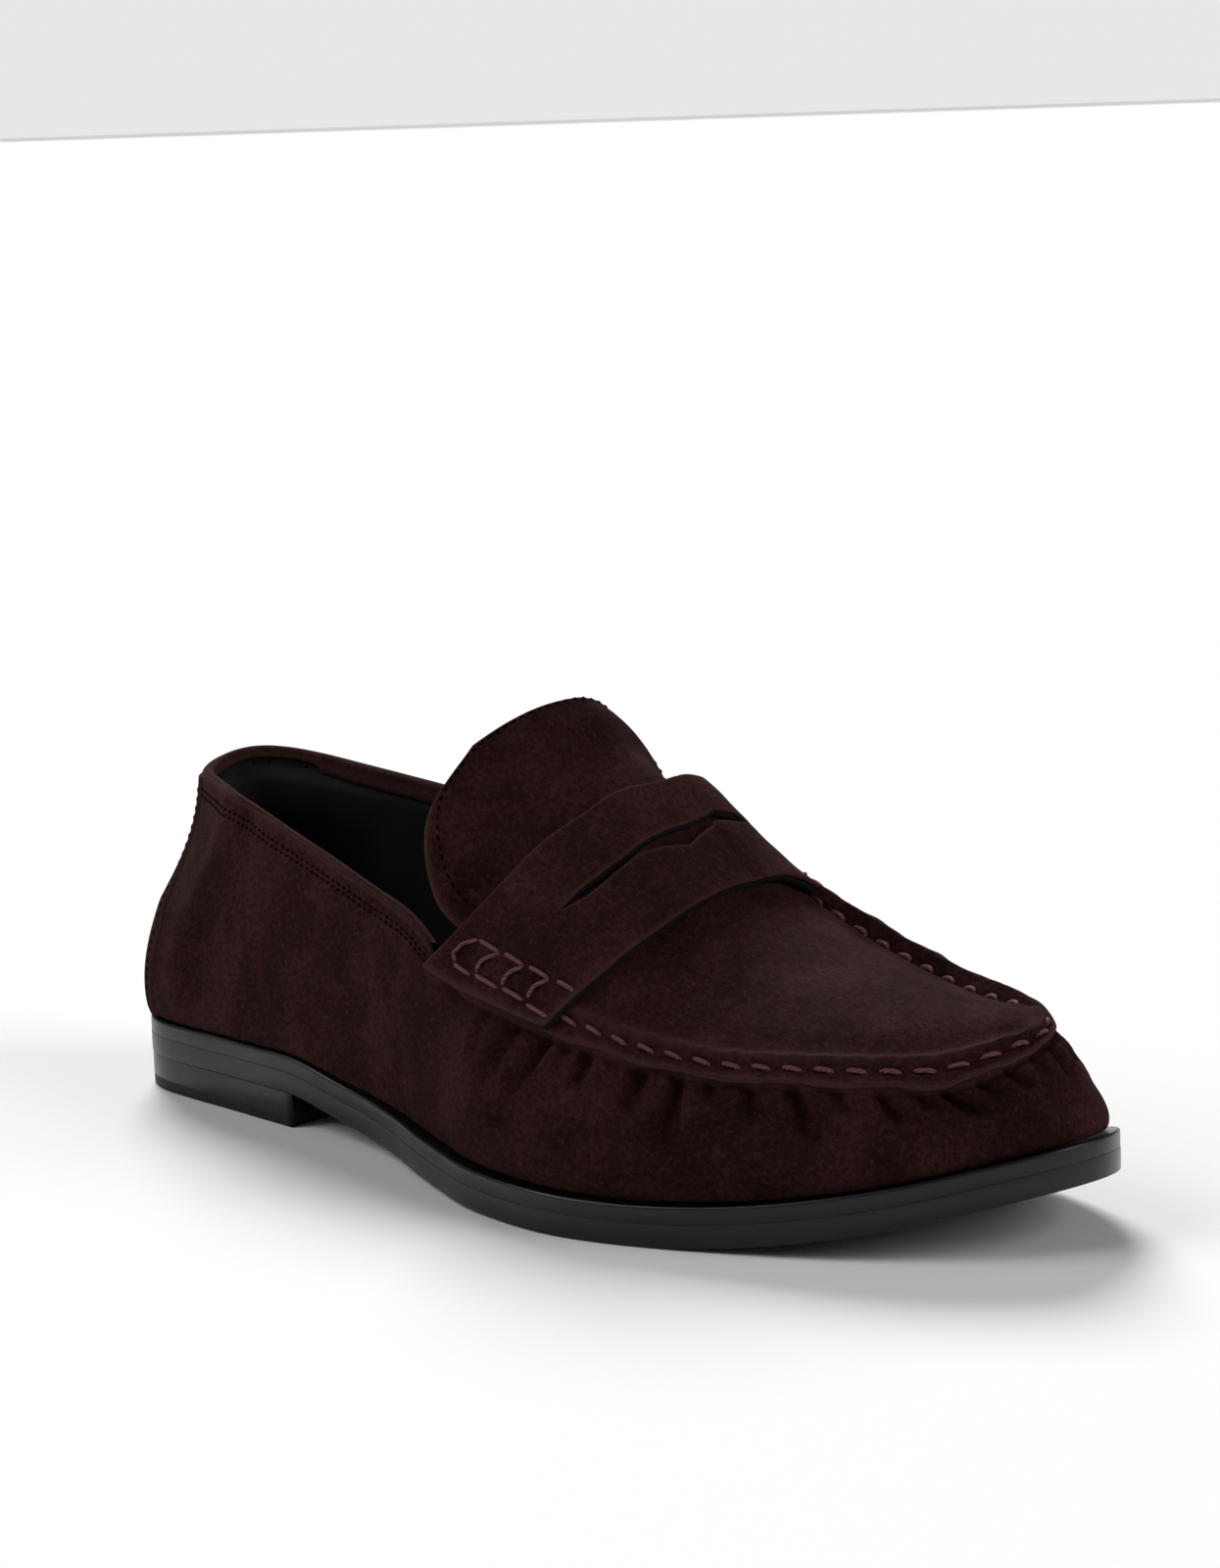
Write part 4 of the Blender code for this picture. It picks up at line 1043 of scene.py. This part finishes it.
def binding(mats):
    """Thin strip that turns over the topline and runs down inside it."""
    rows = open_rows(420)
    top = wall_at(rows, 1.0, 0.0)
    inwards = wall_at(rows, 1.0, 1.0) - top
    radius = COLLAR_ROLL + 0.12
    columns = []
    for turn in np.linspace(68, 170, 12):
        t = math.radians(turn)
        spot = top + inwards * (COLLAR_ROLL - radius * math.cos(t))
        columns.append(spot + UP * radius * math.sin(t))
    reach = inwards * (COLLAR_ROLL + radius)
    depth = 1.6 + 1.9 * (1 - ramp(rows, -4.05, -3.85))[:, None]
    for n, share in enumerate((0.3, 0.65, 1.0, 1.05)):
        spot = top + reach + inwards * (0.3 * share)
        if n == 3:
            spot = spot - inwards * 0.9
        columns.append(spot - UP * depth * share)
    grid = np.stack(columns, 1)
    verts = world(grid).reshape(-1, 3)
    faces = sheet_faces(*grid.shape[:2])
    wear_and_highlight = np.full(grid.shape[:2], 0.25)
    wear_and_highlight[:, -4:] = 0.6
    obj = piece("topline_binding_look", verts, faces, [mats["suede"]], "suede",
                ["collar_binding"], wear_and_highlight=wear_and_highlight.reshape(-1))
    face_up(obj)


def face_up(obj):
    """Turns an open strip so that most of it looks up."""
    normals = np.zeros(len(obj.data.polygons) * 3)
    obj.data.polygons.foreach_get("normal", normals)
    if normals.reshape(-1, 3)[:, 2].sum() < 0:
        obj.data.flip_normals()


def lining(mats):
    """Lining round the heel and the foam under its top."""
    rows = np.linspace(ROW_FAR_STRAP + 0.1 - len(ROWS), ROW_NEAR_STRAP - 0.1, 300)
    v = np.linspace(0.0, 0.985, 60)
    where, vv = np.meshgrid(rows, v, indexing="ij")
    wrinkle = 0.18 * np.sin(where * 5.1 + vv * 9.0) * np.sin(np.pi * vv)
    depth = lining_depth(rows, v) + wrinkle
    inner = wall_at(where, vv, depth)
    outer = wall_at(where, vv, LINING_OUT - 0.3)
    layer_piece("quarter_lining_look", inner, outer, [mats["lining_black"]], "lining_black",
                ["quarter_lining"])
    rows = np.linspace(-4.9, 4.9, 90)
    v = np.linspace(0.74, 0.95, 24)
    where, vv = np.meshgrid(rows, v, indexing="ij")
    inner = wall_at(where, vv, np.maximum(lining_depth(rows, v) - 0.9, STIFF_OUT + 0.2))
    pad = layer_piece("collar_pad_look", inner, wall_at(where, vv, STIFF_OUT + 0.1),
                      [mats["foam"]], "foam", ["collar_pad"])


def foot_bed(name, first, last, margin, low, high, dome, slot, nodes, mats):
    """Sheet or pad under the foot between two distances, shaped by the inside of the lining."""
    rows = np.linspace(0, len(ROWS), 1200)
    ring = wall_at(rows, 0.05, LINING_IN - 0.35 + margin)
    near = ring[rows <= ROW_TOE]
    far = ring[rows >= ROW_TOE][::-1]
    near = near[np.argmin(near[:, 0]):]
    far = far[np.argmin(far[:, 0]):]
    first = max(first, near[0, 0], far[0, 0])
    last = min(last, near[:, 0].max(), far[:, 0].max())
    a = first + (last - first) * (0.5 - 0.5 * np.cos(np.linspace(0, np.pi, 170)))
    mix = 0.5 - 0.5 * np.cos(np.linspace(0, np.pi, 44))
    near_x = np.interp(a, near[:, 0], near[:, 1])[:, None]
    far_x = np.interp(a, far[:, 0], far[:, 1])[:, None]
    x = near_x * (1 - mix) + far_x * mix
    a = np.broadcast_to(a[:, None], x.shape)
    base = sole_z(a) + SOLE_THICK
    rim = np.minimum.reduce([x - near_x, far_x - x, a - first, last - a])
    swell = dome * (1 - np.exp(-np.clip(rim, 0, None) / 3.0))
    return layer_piece(name, np.stack([a, x, base + high + swell], -1),
                       np.stack([a, x, base + low], -1), [mats[slot]], slot, nodes)


def foot_beds(mats):
    sock = GAP * 2 + BOARD_THICK
    foot_bed("sock_lining_look", 0, 300, 0.0, sock, sock + SOCK_THICK, 0.0, "lining_black",
             ["sock_lining"], mats)
    pad = sock + SOCK_THICK + GAP
    seat = foot_bed("heel_pad_look", 10.5, 66, 3.4, pad, pad + PAD_THICK - 0.5, 0.6,
                    "lining_black", ["heel_pad"], mats)


def heel_strip(mats):
    """Heel piece up the back, with rounded edges and a row of stitches down each side."""
    across = np.concatenate([[-1, -0.97, -0.93], np.linspace(-0.88, 0.88, 60), [0.93, 0.97, 1]])
    v = np.linspace(0.0, 0.985, 90)[None, :]
    where = backstay_rows(v) * across[:, None]
    edge = np.clip((1 - np.abs(across)) / 0.07, 0, 1)[:, None]
    high = GAP - 0.1 + (BACKSTAY_OUT - GAP) * np.sqrt(1 - (1 - edge) ** 2)
    vv = np.broadcast_to(v, where.shape)
    high = np.broadcast_to(high, where.shape)
    wear_and_highlight = np.broadcast_to((1 - edge) * 0.7, where.shape)
    layer_piece("backstay_look", wall_at(where, vv, -high), wall_at(where, vv, 0.3),
                [mats["suede"], mats["dark_cut"]], "suede", ["backstay"], wear_and_highlight=wear_and_highlight, bulge=0.1)
    for n, side in enumerate((-1, 1)):
        share = np.linspace(0.03, 0.95, 400)
        path = wall_at(side * (backstay_rows(share) - 0.16), share, -BACKSTAY_OUT + 0.12)
        thread_piece(f"backstay_stitches_{n + 1}", stitches(path, NEEDLE_PITCH, 0.62, 0.0, 0.3),
                     FINE_RADIUS, [mats["fine_thread"]], [f"backstay_thread_{n + 1}"], sides=5)


# Stitches.


def arc_lengths(path):
    """Length along a path at each of its points."""
    return np.concatenate([[0], np.cumsum(np.linalg.norm(np.diff(path, axis=0), axis=1))])


def stitches(path, pitch, share, rise, sink, points=8, up=None):
    """Short paths that rise over the leather and dip into it, one for each stitch."""
    along = arc_lengths(path)
    count = max(1, int(along[-1] / pitch))
    pitch = along[-1] / count
    made = []
    for n in range(count):
        start = (n + (1 - share) / 2) * pitch
        where = np.linspace(start, start + share * pitch, points)
        spot = along_path(where, along, path)
        bow = np.sin(np.linspace(0, np.pi, points)) ** 0.55
        lift = (rise + sink) * bow - sink
        if up is None:
            normal = path_normal(path, along, where)
        else:
            normal = along_path(where, along, up)
        made.append(spot + normal * lift[:, None])
    return made


def path_normal(path, along, where):
    """Direction away from the inside of the shoe at places along a path."""
    spot = along_path(where, along, path)
    centre = np.stack([spot[:, 0], np.full(len(spot), 10.0), np.full(len(spot), 40.0)], 1)
    centre[:, 0] = np.clip(centre[:, 0], 45, 240)
    away = spot - centre
    away[:, 2] *= 0.3
    return unit(away)


# The apron.


def lip_lengths():
    k = np.linspace(0, len(LIP) - 1, 4000)
    return k, arc_lengths(lip(k))


def toe_tight(k):
    """How much closer the seam runs to the raw edge at the toe."""
    return 1 - 0.45 * np.exp(-((k - LIP_TOE) / 1.5) ** 2)


def far_share(k):
    """Nought on the outer side and toe, one along the inner side."""
    return ramp(k, LIP_TOE + 1.5, LIP_TOE + 3.5)


def apron_height(k, d):
    """Relief of the apron at edge place k and distance d in from its raw edge."""
    table, lengths = lip_lengths()
    s = np.interp(k, table, lengths)
    d = d / toe_tight(k)
    seam = STITCH_IN + FAR_SEAM_IN * far_share(k)
    hole = np.cos(math.tau * s / STITCH_PITCH)
    groove = -GROOVE_DEEP * np.exp(-((d - seam) / 0.95) ** 2) * (0.85 + 0.25 * hole)
    top = RIDGE_IN + FAR_SEAM_IN * far_share(k)
    ridge = RIDGE_HIGH * np.exp(-((d - top) / 1.3) ** 2) * (1 + 0.15 * hole) * (1 - 0.85 * far_share(k))
    wave = 0.3 * np.sin(math.tau * s / 19.0 + 0.8) + 0.08 * np.sin(math.tau * s / 7.1)
    curl = (0.25 + wave) * np.exp(-(d / 1.6) ** 2) * ramp(k, 3.2, 5.0)
    dip = -0.35 * np.exp(-((d - top - 4.0) / 2.6) ** 2)
    relief = groove + ridge + dip
    return relief * ramp(k, 2.6, 4.6) * (1 - ramp(k, 21.0, 23.0)) + curl


def far_flange(k, d):
    """Height added on the inner side, where the seam lies in a trough behind a standing edge."""
    stand = FLANGE_HIGH * (1 - ramp(d, 1.8, 4.6))
    trough = -TROUGH_DEEP * ramp(d, 2.6, 5.2) * (1 - ramp(d, 13.0, 27.0))
    return far_share(k) * (stand + trough) * (1 - ramp(k, 21.2, 23.5))


def lip_shift(k):
    """How far the raw edge wanders in or out, in millimetres."""
    table, lengths = lip_lengths()
    s = np.interp(k, table, lengths)
    return 0.4 * np.sin(math.tau * s / 23.0) + 0.1 * np.sin(math.tau * s / 7.3 + 1.0)


def instep_reach(k):
    """Distance from the crest of the instep to the apron edge."""
    return np.linalg.norm(instep(k, np.ones_like(k)) - instep(k, np.zeros_like(k)), axis=-1)


def apron_side(k, r, sink):
    """One side of the apron: rows over edge places k, columns over shares r."""
    reach = instep_reach(k)
    d = (1 - r)[None, :] * reach[:, None]
    base = surface_grid(k, r, 0.0)
    up = surface_grid(k, r, 1.0) - base
    edge = lip(k)
    out = edge - instep(k, np.full_like(k, 0.97))
    out = unit(out)
    shift = lip_shift(k)[:, None] * np.exp(-d / 1.3)
    rounding = 0.5 * (1 - np.sqrt(1 - (1 - np.clip(d / 0.5, 0, 1)) ** 2))
    high = apron_height(k[:, None], d) - rounding
    if sink:
        high = apron_height(k[:, None], d) * np.exp(-d / 2.0) - sink
    base[..., 2] += far_flange(k[:, None], d)
    return base + up * high[..., None] + out[:, None] * shift[..., None], d


def apron_grid(near_k, r, sink):
    a = lip(near_k)[:, 0]
    far_k = lip_row(a, False)
    far_k[near_k >= LIP_TOE] = LIP_TOE
    near, near_d = apron_side(near_k, r, sink)
    far, far_d = apron_side(far_k, r, sink)
    return (np.concatenate([near[:, ::-1], far[:, 1:]], 1),
            np.concatenate([near_d[:, ::-1], far_d[:, 1:]], 1))


def apron(mats):
    """Raised plug, its lining and the seam round it."""
    near_k = np.concatenate([np.linspace(2.9, 11.5, 230), np.linspace(11.53, 13.4, 60),
                             LIP_TOE - 0.6 * np.linspace(0.97, 0, 34) ** 1.5])
    reach = 45.0
    d = np.concatenate([np.linspace(0, 0.5, 5), np.linspace(0.75, 12, 42), np.linspace(13, 44, 26)])
    r = np.concatenate([[0.0], np.sort(1 - d / reach)])
    top, depth = apron_grid(near_k, r, 0.0)
    low, _ = apron_grid(near_k, r, APRON_THICK)
    # Lighter along the raw edge, which is wear, and in a band over the ridge inside the seam, which is a
    # painted highlight.
    wear_and_highlight = np.exp(-(depth / 0.6) ** 2) * 0.6 + 0.3 * np.exp(-((depth - RIDGE_IN) / 1.3) ** 2)
    layer_piece("apron_look", top, low, [mats["suede"], mats["cut"]], "suede", ["apron"],
                wear_and_highlight=wear_and_highlight, bulge=0.2)
    near_k = np.linspace(4.8, 12.8, 60)
    r = 1 - np.concatenate([[9.0], np.linspace(12, 44, 16), [reach]])[::-1] / reach
    top, _ = apron_grid(near_k, r, APRON_THICK + 0.3)
    low, _ = apron_grid(near_k, r, APRON_THICK + 1.1)
    layer_piece("apron_lining_look", top, low, [mats["lining_tan"]], "lining_tan", ["apron_lining"])
    moc_stitches(mats)


def seam_path():
    """Middle line of the moccasin seam, with the direction away from the leather."""
    k = np.linspace(SEAM_FIRST, SEAM_LAST, 1500)
    inset = (STITCH_IN + FAR_SEAM_IN * far_share(k)) * toe_tight(k)
    r = 1 - inset / instep_reach(k)
    base = instep(k, r)
    up = unit(np.cross(instep(k + 0.05, r) - instep(k - 0.05, r), instep(k, r + 0.01) - instep(k, r - 0.01)))
    up *= np.sign(up[:, 2:3])
    base[:, 2] += far_flange(k, inset)
    return base + up * apron_height(k, inset)[:, None], up


def moc_stitches(mats):
    path, up = seam_path()
    shown = 0.75 - 1.05 * far_share(np.linspace(SEAM_FIRST, SEAM_LAST, len(path)))[:, None]
    lifted = path + up * STITCH_RADIUS * shown
    made = []
    cross = unit(np.cross(np.gradient(path, axis=0), up))
    along = arc_lengths(lifted)
    for n, each in enumerate(stitches(lifted, STITCH_PITCH, 0.7, 0.35, 0.95, 9, up)):
        middle = np.interp(along[-1] * (n + 0.5) * STITCH_PITCH / along[-1], along, np.arange(len(along)))
        side = cross[min(int(middle), len(cross) - 1)]
        slant = np.linspace(-0.45, 0.45, len(each))[:, None]
        made.append(each + side * slant)
    thread_piece("moc_stitches", made, STITCH_RADIUS, [mats["thread"]], ["moc_thread"])


# Strap, tongue and their stitches.


def strap_layer(q, low, high, shrink):
    """Grids over the strap in two bands, before and after the slot."""
    rear = np.interp(q, *np.array(SLOT_REAR).T)[:, None]
    front = np.interp(q, *np.array(SLOT_FRONT).T)[:, None]
    share = np.concatenate([[0, 0.012, 0.03], np.linspace(0.06, 0.94, 22), [0.97, 0.988, 1]])
    w = np.concatenate([rear * share, front + (1 - front) * share], 1)
    w = 0.5 + (w - 0.5) * (1 - shrink)
    qq = np.broadcast_to(q[:, None], w.shape)
    d = np.minimum.reduce([w * STRAP_WIDE, (1 - w) * STRAP_WIDE,
                           (1 - np.abs(qq)) * STRAP_HALF_SPAN + 0.0 * w])
    inside = ((q > SLOT_REAR[0][0]) & (q < SLOT_REAR[-1][0]))[:, None]
    slot_gap = np.minimum(np.abs(w - rear), np.abs(w - front)) * STRAP_WIDE
    d = np.where(inside, np.minimum(d, slot_gap), d)
    rounding = 0.45 * (1 - np.sqrt(1 - (1 - np.clip(d / 0.7, 0, 1)) ** 2))
    relief = 0.12 * np.sin(qq * 17 + w * 6) * np.sin(w * 9)
    return strap_point(qq, w, high - rounding + relief), strap_point(qq, w, low), d


def strap(mats):
    """Saddle with its slot, the backing behind it and the stitches of its ends."""
    ends = SLOT_REAR[0][0], SLOT_REAR[-1][0]
    q = np.concatenate([[-1, -0.996, -0.99], np.linspace(-0.98, 0.98, 300), [0.99, 0.996, 1]])
    keep = np.ones((len(q) - 1, 55), bool)
    keep[(q[:-1] >= ends[0]) & (q[1:] <= ends[1]), 27] = False
    split = 0.5 * (STRAP_LOW + STRAP_HIGH) - 0.15
    top, low, d = strap_layer(q, split, STRAP_HIGH, 0.0)
    layer_piece("strap_look", top, low, [mats["suede"], mats["dark_cut"]], "suede", ["strap"],
                keep, 0.2, np.exp(-(d / 0.7) ** 2) * 0.8)
    top, low, _ = strap_layer(q, 0.3, split - 0.08, 0.012)
    layer_piece("strap_backing_look", top, low, [mats["edge_black"]], "edge_black",
                ["strap_underlay"], keep, 0.1)
    ladder(mats)


def bowed(points, steps=14):
    """Stitch over the strap through listed (q, w) points, dipping in at both ends."""
    points = np.array(points, float)
    where = np.linspace(0, len(points) - 1, steps)
    q = np.interp(where, np.arange(len(points)), points[:, 0])
    w = np.interp(where, np.arange(len(points)), points[:, 1])
    bow = np.sin(np.linspace(0, np.pi, steps)) ** 0.5
    lift = (LADDER_RISE + LADDER_SINK) * bow - LADDER_SINK
    return strap_point(q, w, STRAP_HIGH + LADDER_RADIUS * 0.5 + lift)


def ladder(mats):
    """Hand stitching that ties each strap end: a row by the edge, rungs and a row above."""
    outer = [bowed(((-0.955, a), (-0.96, b))) for a, b in
             ((0.192, 0.36), (0.385, 0.585), (0.61, 0.775))]
    outer.append(bowed(((-0.965, 0.81), (-0.975, 0.985))))
    rungs = [bowed(((-0.95, 0.192), (-0.935, 0.14), (-0.905, 0.15), (-0.88, 0.205)), steps=20)]
    rungs += [bowed(((-0.95, a), (-0.92, a - 0.015), (-0.885, b))) for a, b in
              ((0.378, 0.41), (0.588, 0.60), (0.785, 0.80))]
    thread_piece("ladder_outer_stitches", outer + rungs, LADDER_RADIUS, [mats["thread"]],
                 ["ladder_thread_outer"])
    bars = [bowed(((-0.88, a), (-0.884, b))) for a, b in
            ((0.218, 0.40), (0.438, 0.594), (0.632, 0.793), (0.85, 0.975))]
    thread_piece("ladder_bar_stitches", bars, LADDER_RADIUS, [mats["thread"]],
                 ["bar_thread_outer"])
    inner = [bowed(((0.93, a), (0.934, b))) for a, b in
             ((0.15, 0.33), (0.37, 0.55), (0.59, 0.77), (0.81, 0.97))]
    inner += [bowed(((0.93, a), (0.86, a + 0.03))) for a in (0.15, 0.36, 0.58, 0.80)]
    thread_piece("ladder_inner_stitches", inner, LADDER_RADIUS, [mats["thread"]],
                 ["ladder_thread_inner"])


def tongue_skin(across, sink, lines=150):
    grid = tongue_grid(lines, across, sink)
    share = np.linspace(0, 1, lines)[:, None]
    wave = 0.35 * np.sin(across * 4.2 + 0.6)[None, :] * np.sin(share * 5.0) * ramp(share, 0.4, 0.8)
    grid[..., 2] += wave
    return grid


def tongue(mats):
    """Soft tongue that bends out from under the strap."""
    across = np.concatenate([[-1, -0.992, -0.98], np.linspace(-0.96, 0.96, 110), [0.98, 0.992, 1]])
    edge = np.minimum(1 - np.abs(across)[None, :], 0.9) * 34
    lines = np.linspace(1, 0, 150)[:, None] * 60
    d = np.minimum(edge, lines)
    high = 0.45 * (1 - np.sqrt(1 - (1 - np.clip(d / 0.7, 0, 1)) ** 2))
    top = tongue_skin(across, 0.0)
    low = tongue_skin(across, TONGUE_THICK)
    share = (high / TONGUE_THICK)[..., None]
    top = top * (1 - share) + low * share
    skin = layer_piece("tongue_look", top, low, [mats["suede"], mats["cut"]], "suede", ["tongue"],
                       wear_and_highlight=np.exp(-(d / 0.8) ** 2) * 0.8, body=None)
    inner = np.linspace(-0.975, 0.975, 60)
    under = layer_piece("tongue_lining_look", tongue_skin(inner, TONGUE_THICK + 0.1, 90),
                        tongue_skin(inner, TONGUE_THICK + GAP + TONGUE_LINING_THICK, 90),
                        [mats["lining_black"]], "lining_black", ["tongue_lining"], body=None)
    across = np.linspace(-0.92, 0.92, 80)
    rim = tongue_skin(across, 0.0, 200)
    across_way = np.gradient(rim, axis=1)
    up_grid = facing_up(unit(np.cross(np.gradient(rim, axis=0), across_way)))
    first, last = TONGUE_STITCH_FIRST, TONGUE_STITCH_LAST
    path, up = (np.concatenate([grid[first:last, 0], grid[last, 1:-1],
                                grid[last - 1:first - 1:-1, -1]]) for grid in (rim, up_grid))
    row = thread_piece("tongue_stitches", stitches(path, NEEDLE_PITCH, 0.6, 0.1, 0.35, up=up),
                       FINE_RADIUS, [mats["fine_thread"]], ["tongue_thread"], body=None, sides=5)
    for obj in (skin, under, row):
        bend_with_tongue(obj)


def bend_with_tongue(obj):
    """Bakes the object's placement into its mesh."""
    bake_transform(obj)


def topline_stitches(mats):
    """Two needle rows behind the strap on the outer side and one on the inner side."""
    near = np.linspace(2.0, ROW_NEAR_STRAP - 0.1, 900)
    far = np.linspace(ROW_FAR_STRAP + 0.4, len(ROWS) - 2.0, 700)
    shares = [(near, 1 - drop / NEAR_WALL_HIGH) for drop in NEAR_DROPS]
    shares.append((far, 1 - FAR_DROP / FAR_WALL_HIGH))
    for n, (rows, share) in enumerate(shares):
        path = wall_at(rows, share, -crease(rows, share))
        thread_piece(f"topline_stitches_{n + 1}", stitches(path, NEEDLE_PITCH, 0.58, 0.16, 0.3),
                     FINE_RADIUS, [mats["fine_thread"]], [f"topline_thread_{n + 1}"], sides=5)


def dress_nodes(mats):
    """Procedural materials for every CAD node that stays."""
    slots = {entry["node"]: entry["material_slot"] for entry in frame["record"]["subparts"]}
    for name, node in frame["nodes"].items():
        for entry in node.material_slots:
            entry.material = mats[slots[name]]


# Stage.


def floor_and_light():
    mesh = bpy.data.meshes.new("floor")
    corners = [(x * FLOOR_REACH, y * FLOOR_REACH, 0) for x, y in ((-1, -1), (1, -1), (1, 1), (-1, 1))]
    mesh.from_pydata(corners, [], [(0, 1, 2, 3)])
    made = Shader("floor_paper", 0.9)
    fibre = made.noise(300, 2.0)
    made.colour(made.ramp(fibre, ((0.3, scaled(FLOOR, 0.995)), (0.7, FLOOR))))
    mesh.materials.append(made.material)
    obj = placed("floor", mesh)
    backdrop()
    world_light = bpy.data.worlds.new("studio")
    world_light.use_nodes = True
    back = world_light.node_tree.nodes["Background"]
    settings(back, {"Color": (1.0, 1.0, 1.0, 1.0), "Strength": WORLD_STRENGTH})
    bpy.context.scene.world = world_light
    for name, aim, strength, angle in SUNS:
        light = bpy.data.lights.new(name, "SUN")
        light.energy = strength
        light.angle = math.radians(angle)
        lamp = placed(name, light)
        lamp.rotation_euler = Vector(aim).to_track_quat("Z", "Y").to_euler()


def backdrop():
    """Bright paper far behind the shoe, where the floor ends."""
    ahead = CAMERA_AIM - CAMERA_AT
    ahead.z = 0
    ahead.normalize()
    side = Vector((-ahead.y, ahead.x, 0))
    middle = ahead * BACKDROP_FAR
    corners = [middle + side * BACKDROP_HALF * across + Vector((0, 0, high))
               for across, high in ((-1, BACKDROP_FOOT), (1, BACKDROP_FOOT), (1, BACKDROP_TOP),
                                    (-1, BACKDROP_TOP))]
    mesh = bpy.data.meshes.new("backdrop")
    mesh.from_pydata([tuple(corner) for corner in corners], [], [(0, 1, 2, 3)])
    made = Shader("backdrop_paper", 0.9)
    glow = made.noise(2, 1.0)
    made.colour(made.ramp(glow, ((0.3, (0.0, 0.0, 0.0)), (0.7, (0.001, 0.001, 0.001)))))
    settings(made.main, {"Emission Color": (1.0, 1.0, 1.0, 1.0), "Emission Strength": BACKDROP})
    mesh.materials.append(made.material)
    obj = placed("backdrop", mesh)


def camera():
    """View from the outer front quarter, a little rolled."""
    data = bpy.data.cameras.new("camera")
    data.lens = CAMERA_LENS
    data.sensor_width = 36.0
    data.sensor_fit = "AUTO"
    data.clip_end = 200.0
    forward = (CAMERA_AIM - CAMERA_AT).normalized()
    level = forward.cross(Vector((0, 0, 1))).normalized()
    upright = level.cross(forward)
    right = level * math.cos(CAMERA_ROLL) + upright * math.sin(CAMERA_ROLL)
    up = right.cross(forward)
    turn = Matrix((right, up, -forward)).transposed()
    obj = placed("camera", data)
    obj.matrix_world = Matrix.Translation(CAMERA_AT) @ turn.to_4x4()
    bpy.context.scene.camera = obj
    bpy.context.scene.view_settings.view_transform = "Standard"


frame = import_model()
mats = make_materials()
camera()
floor_and_light()
dress_nodes(mats)
sole(mats)
upper(mats)
apron(mats)
strap(mats)
tongue(mats)
topline_stitches(mats)
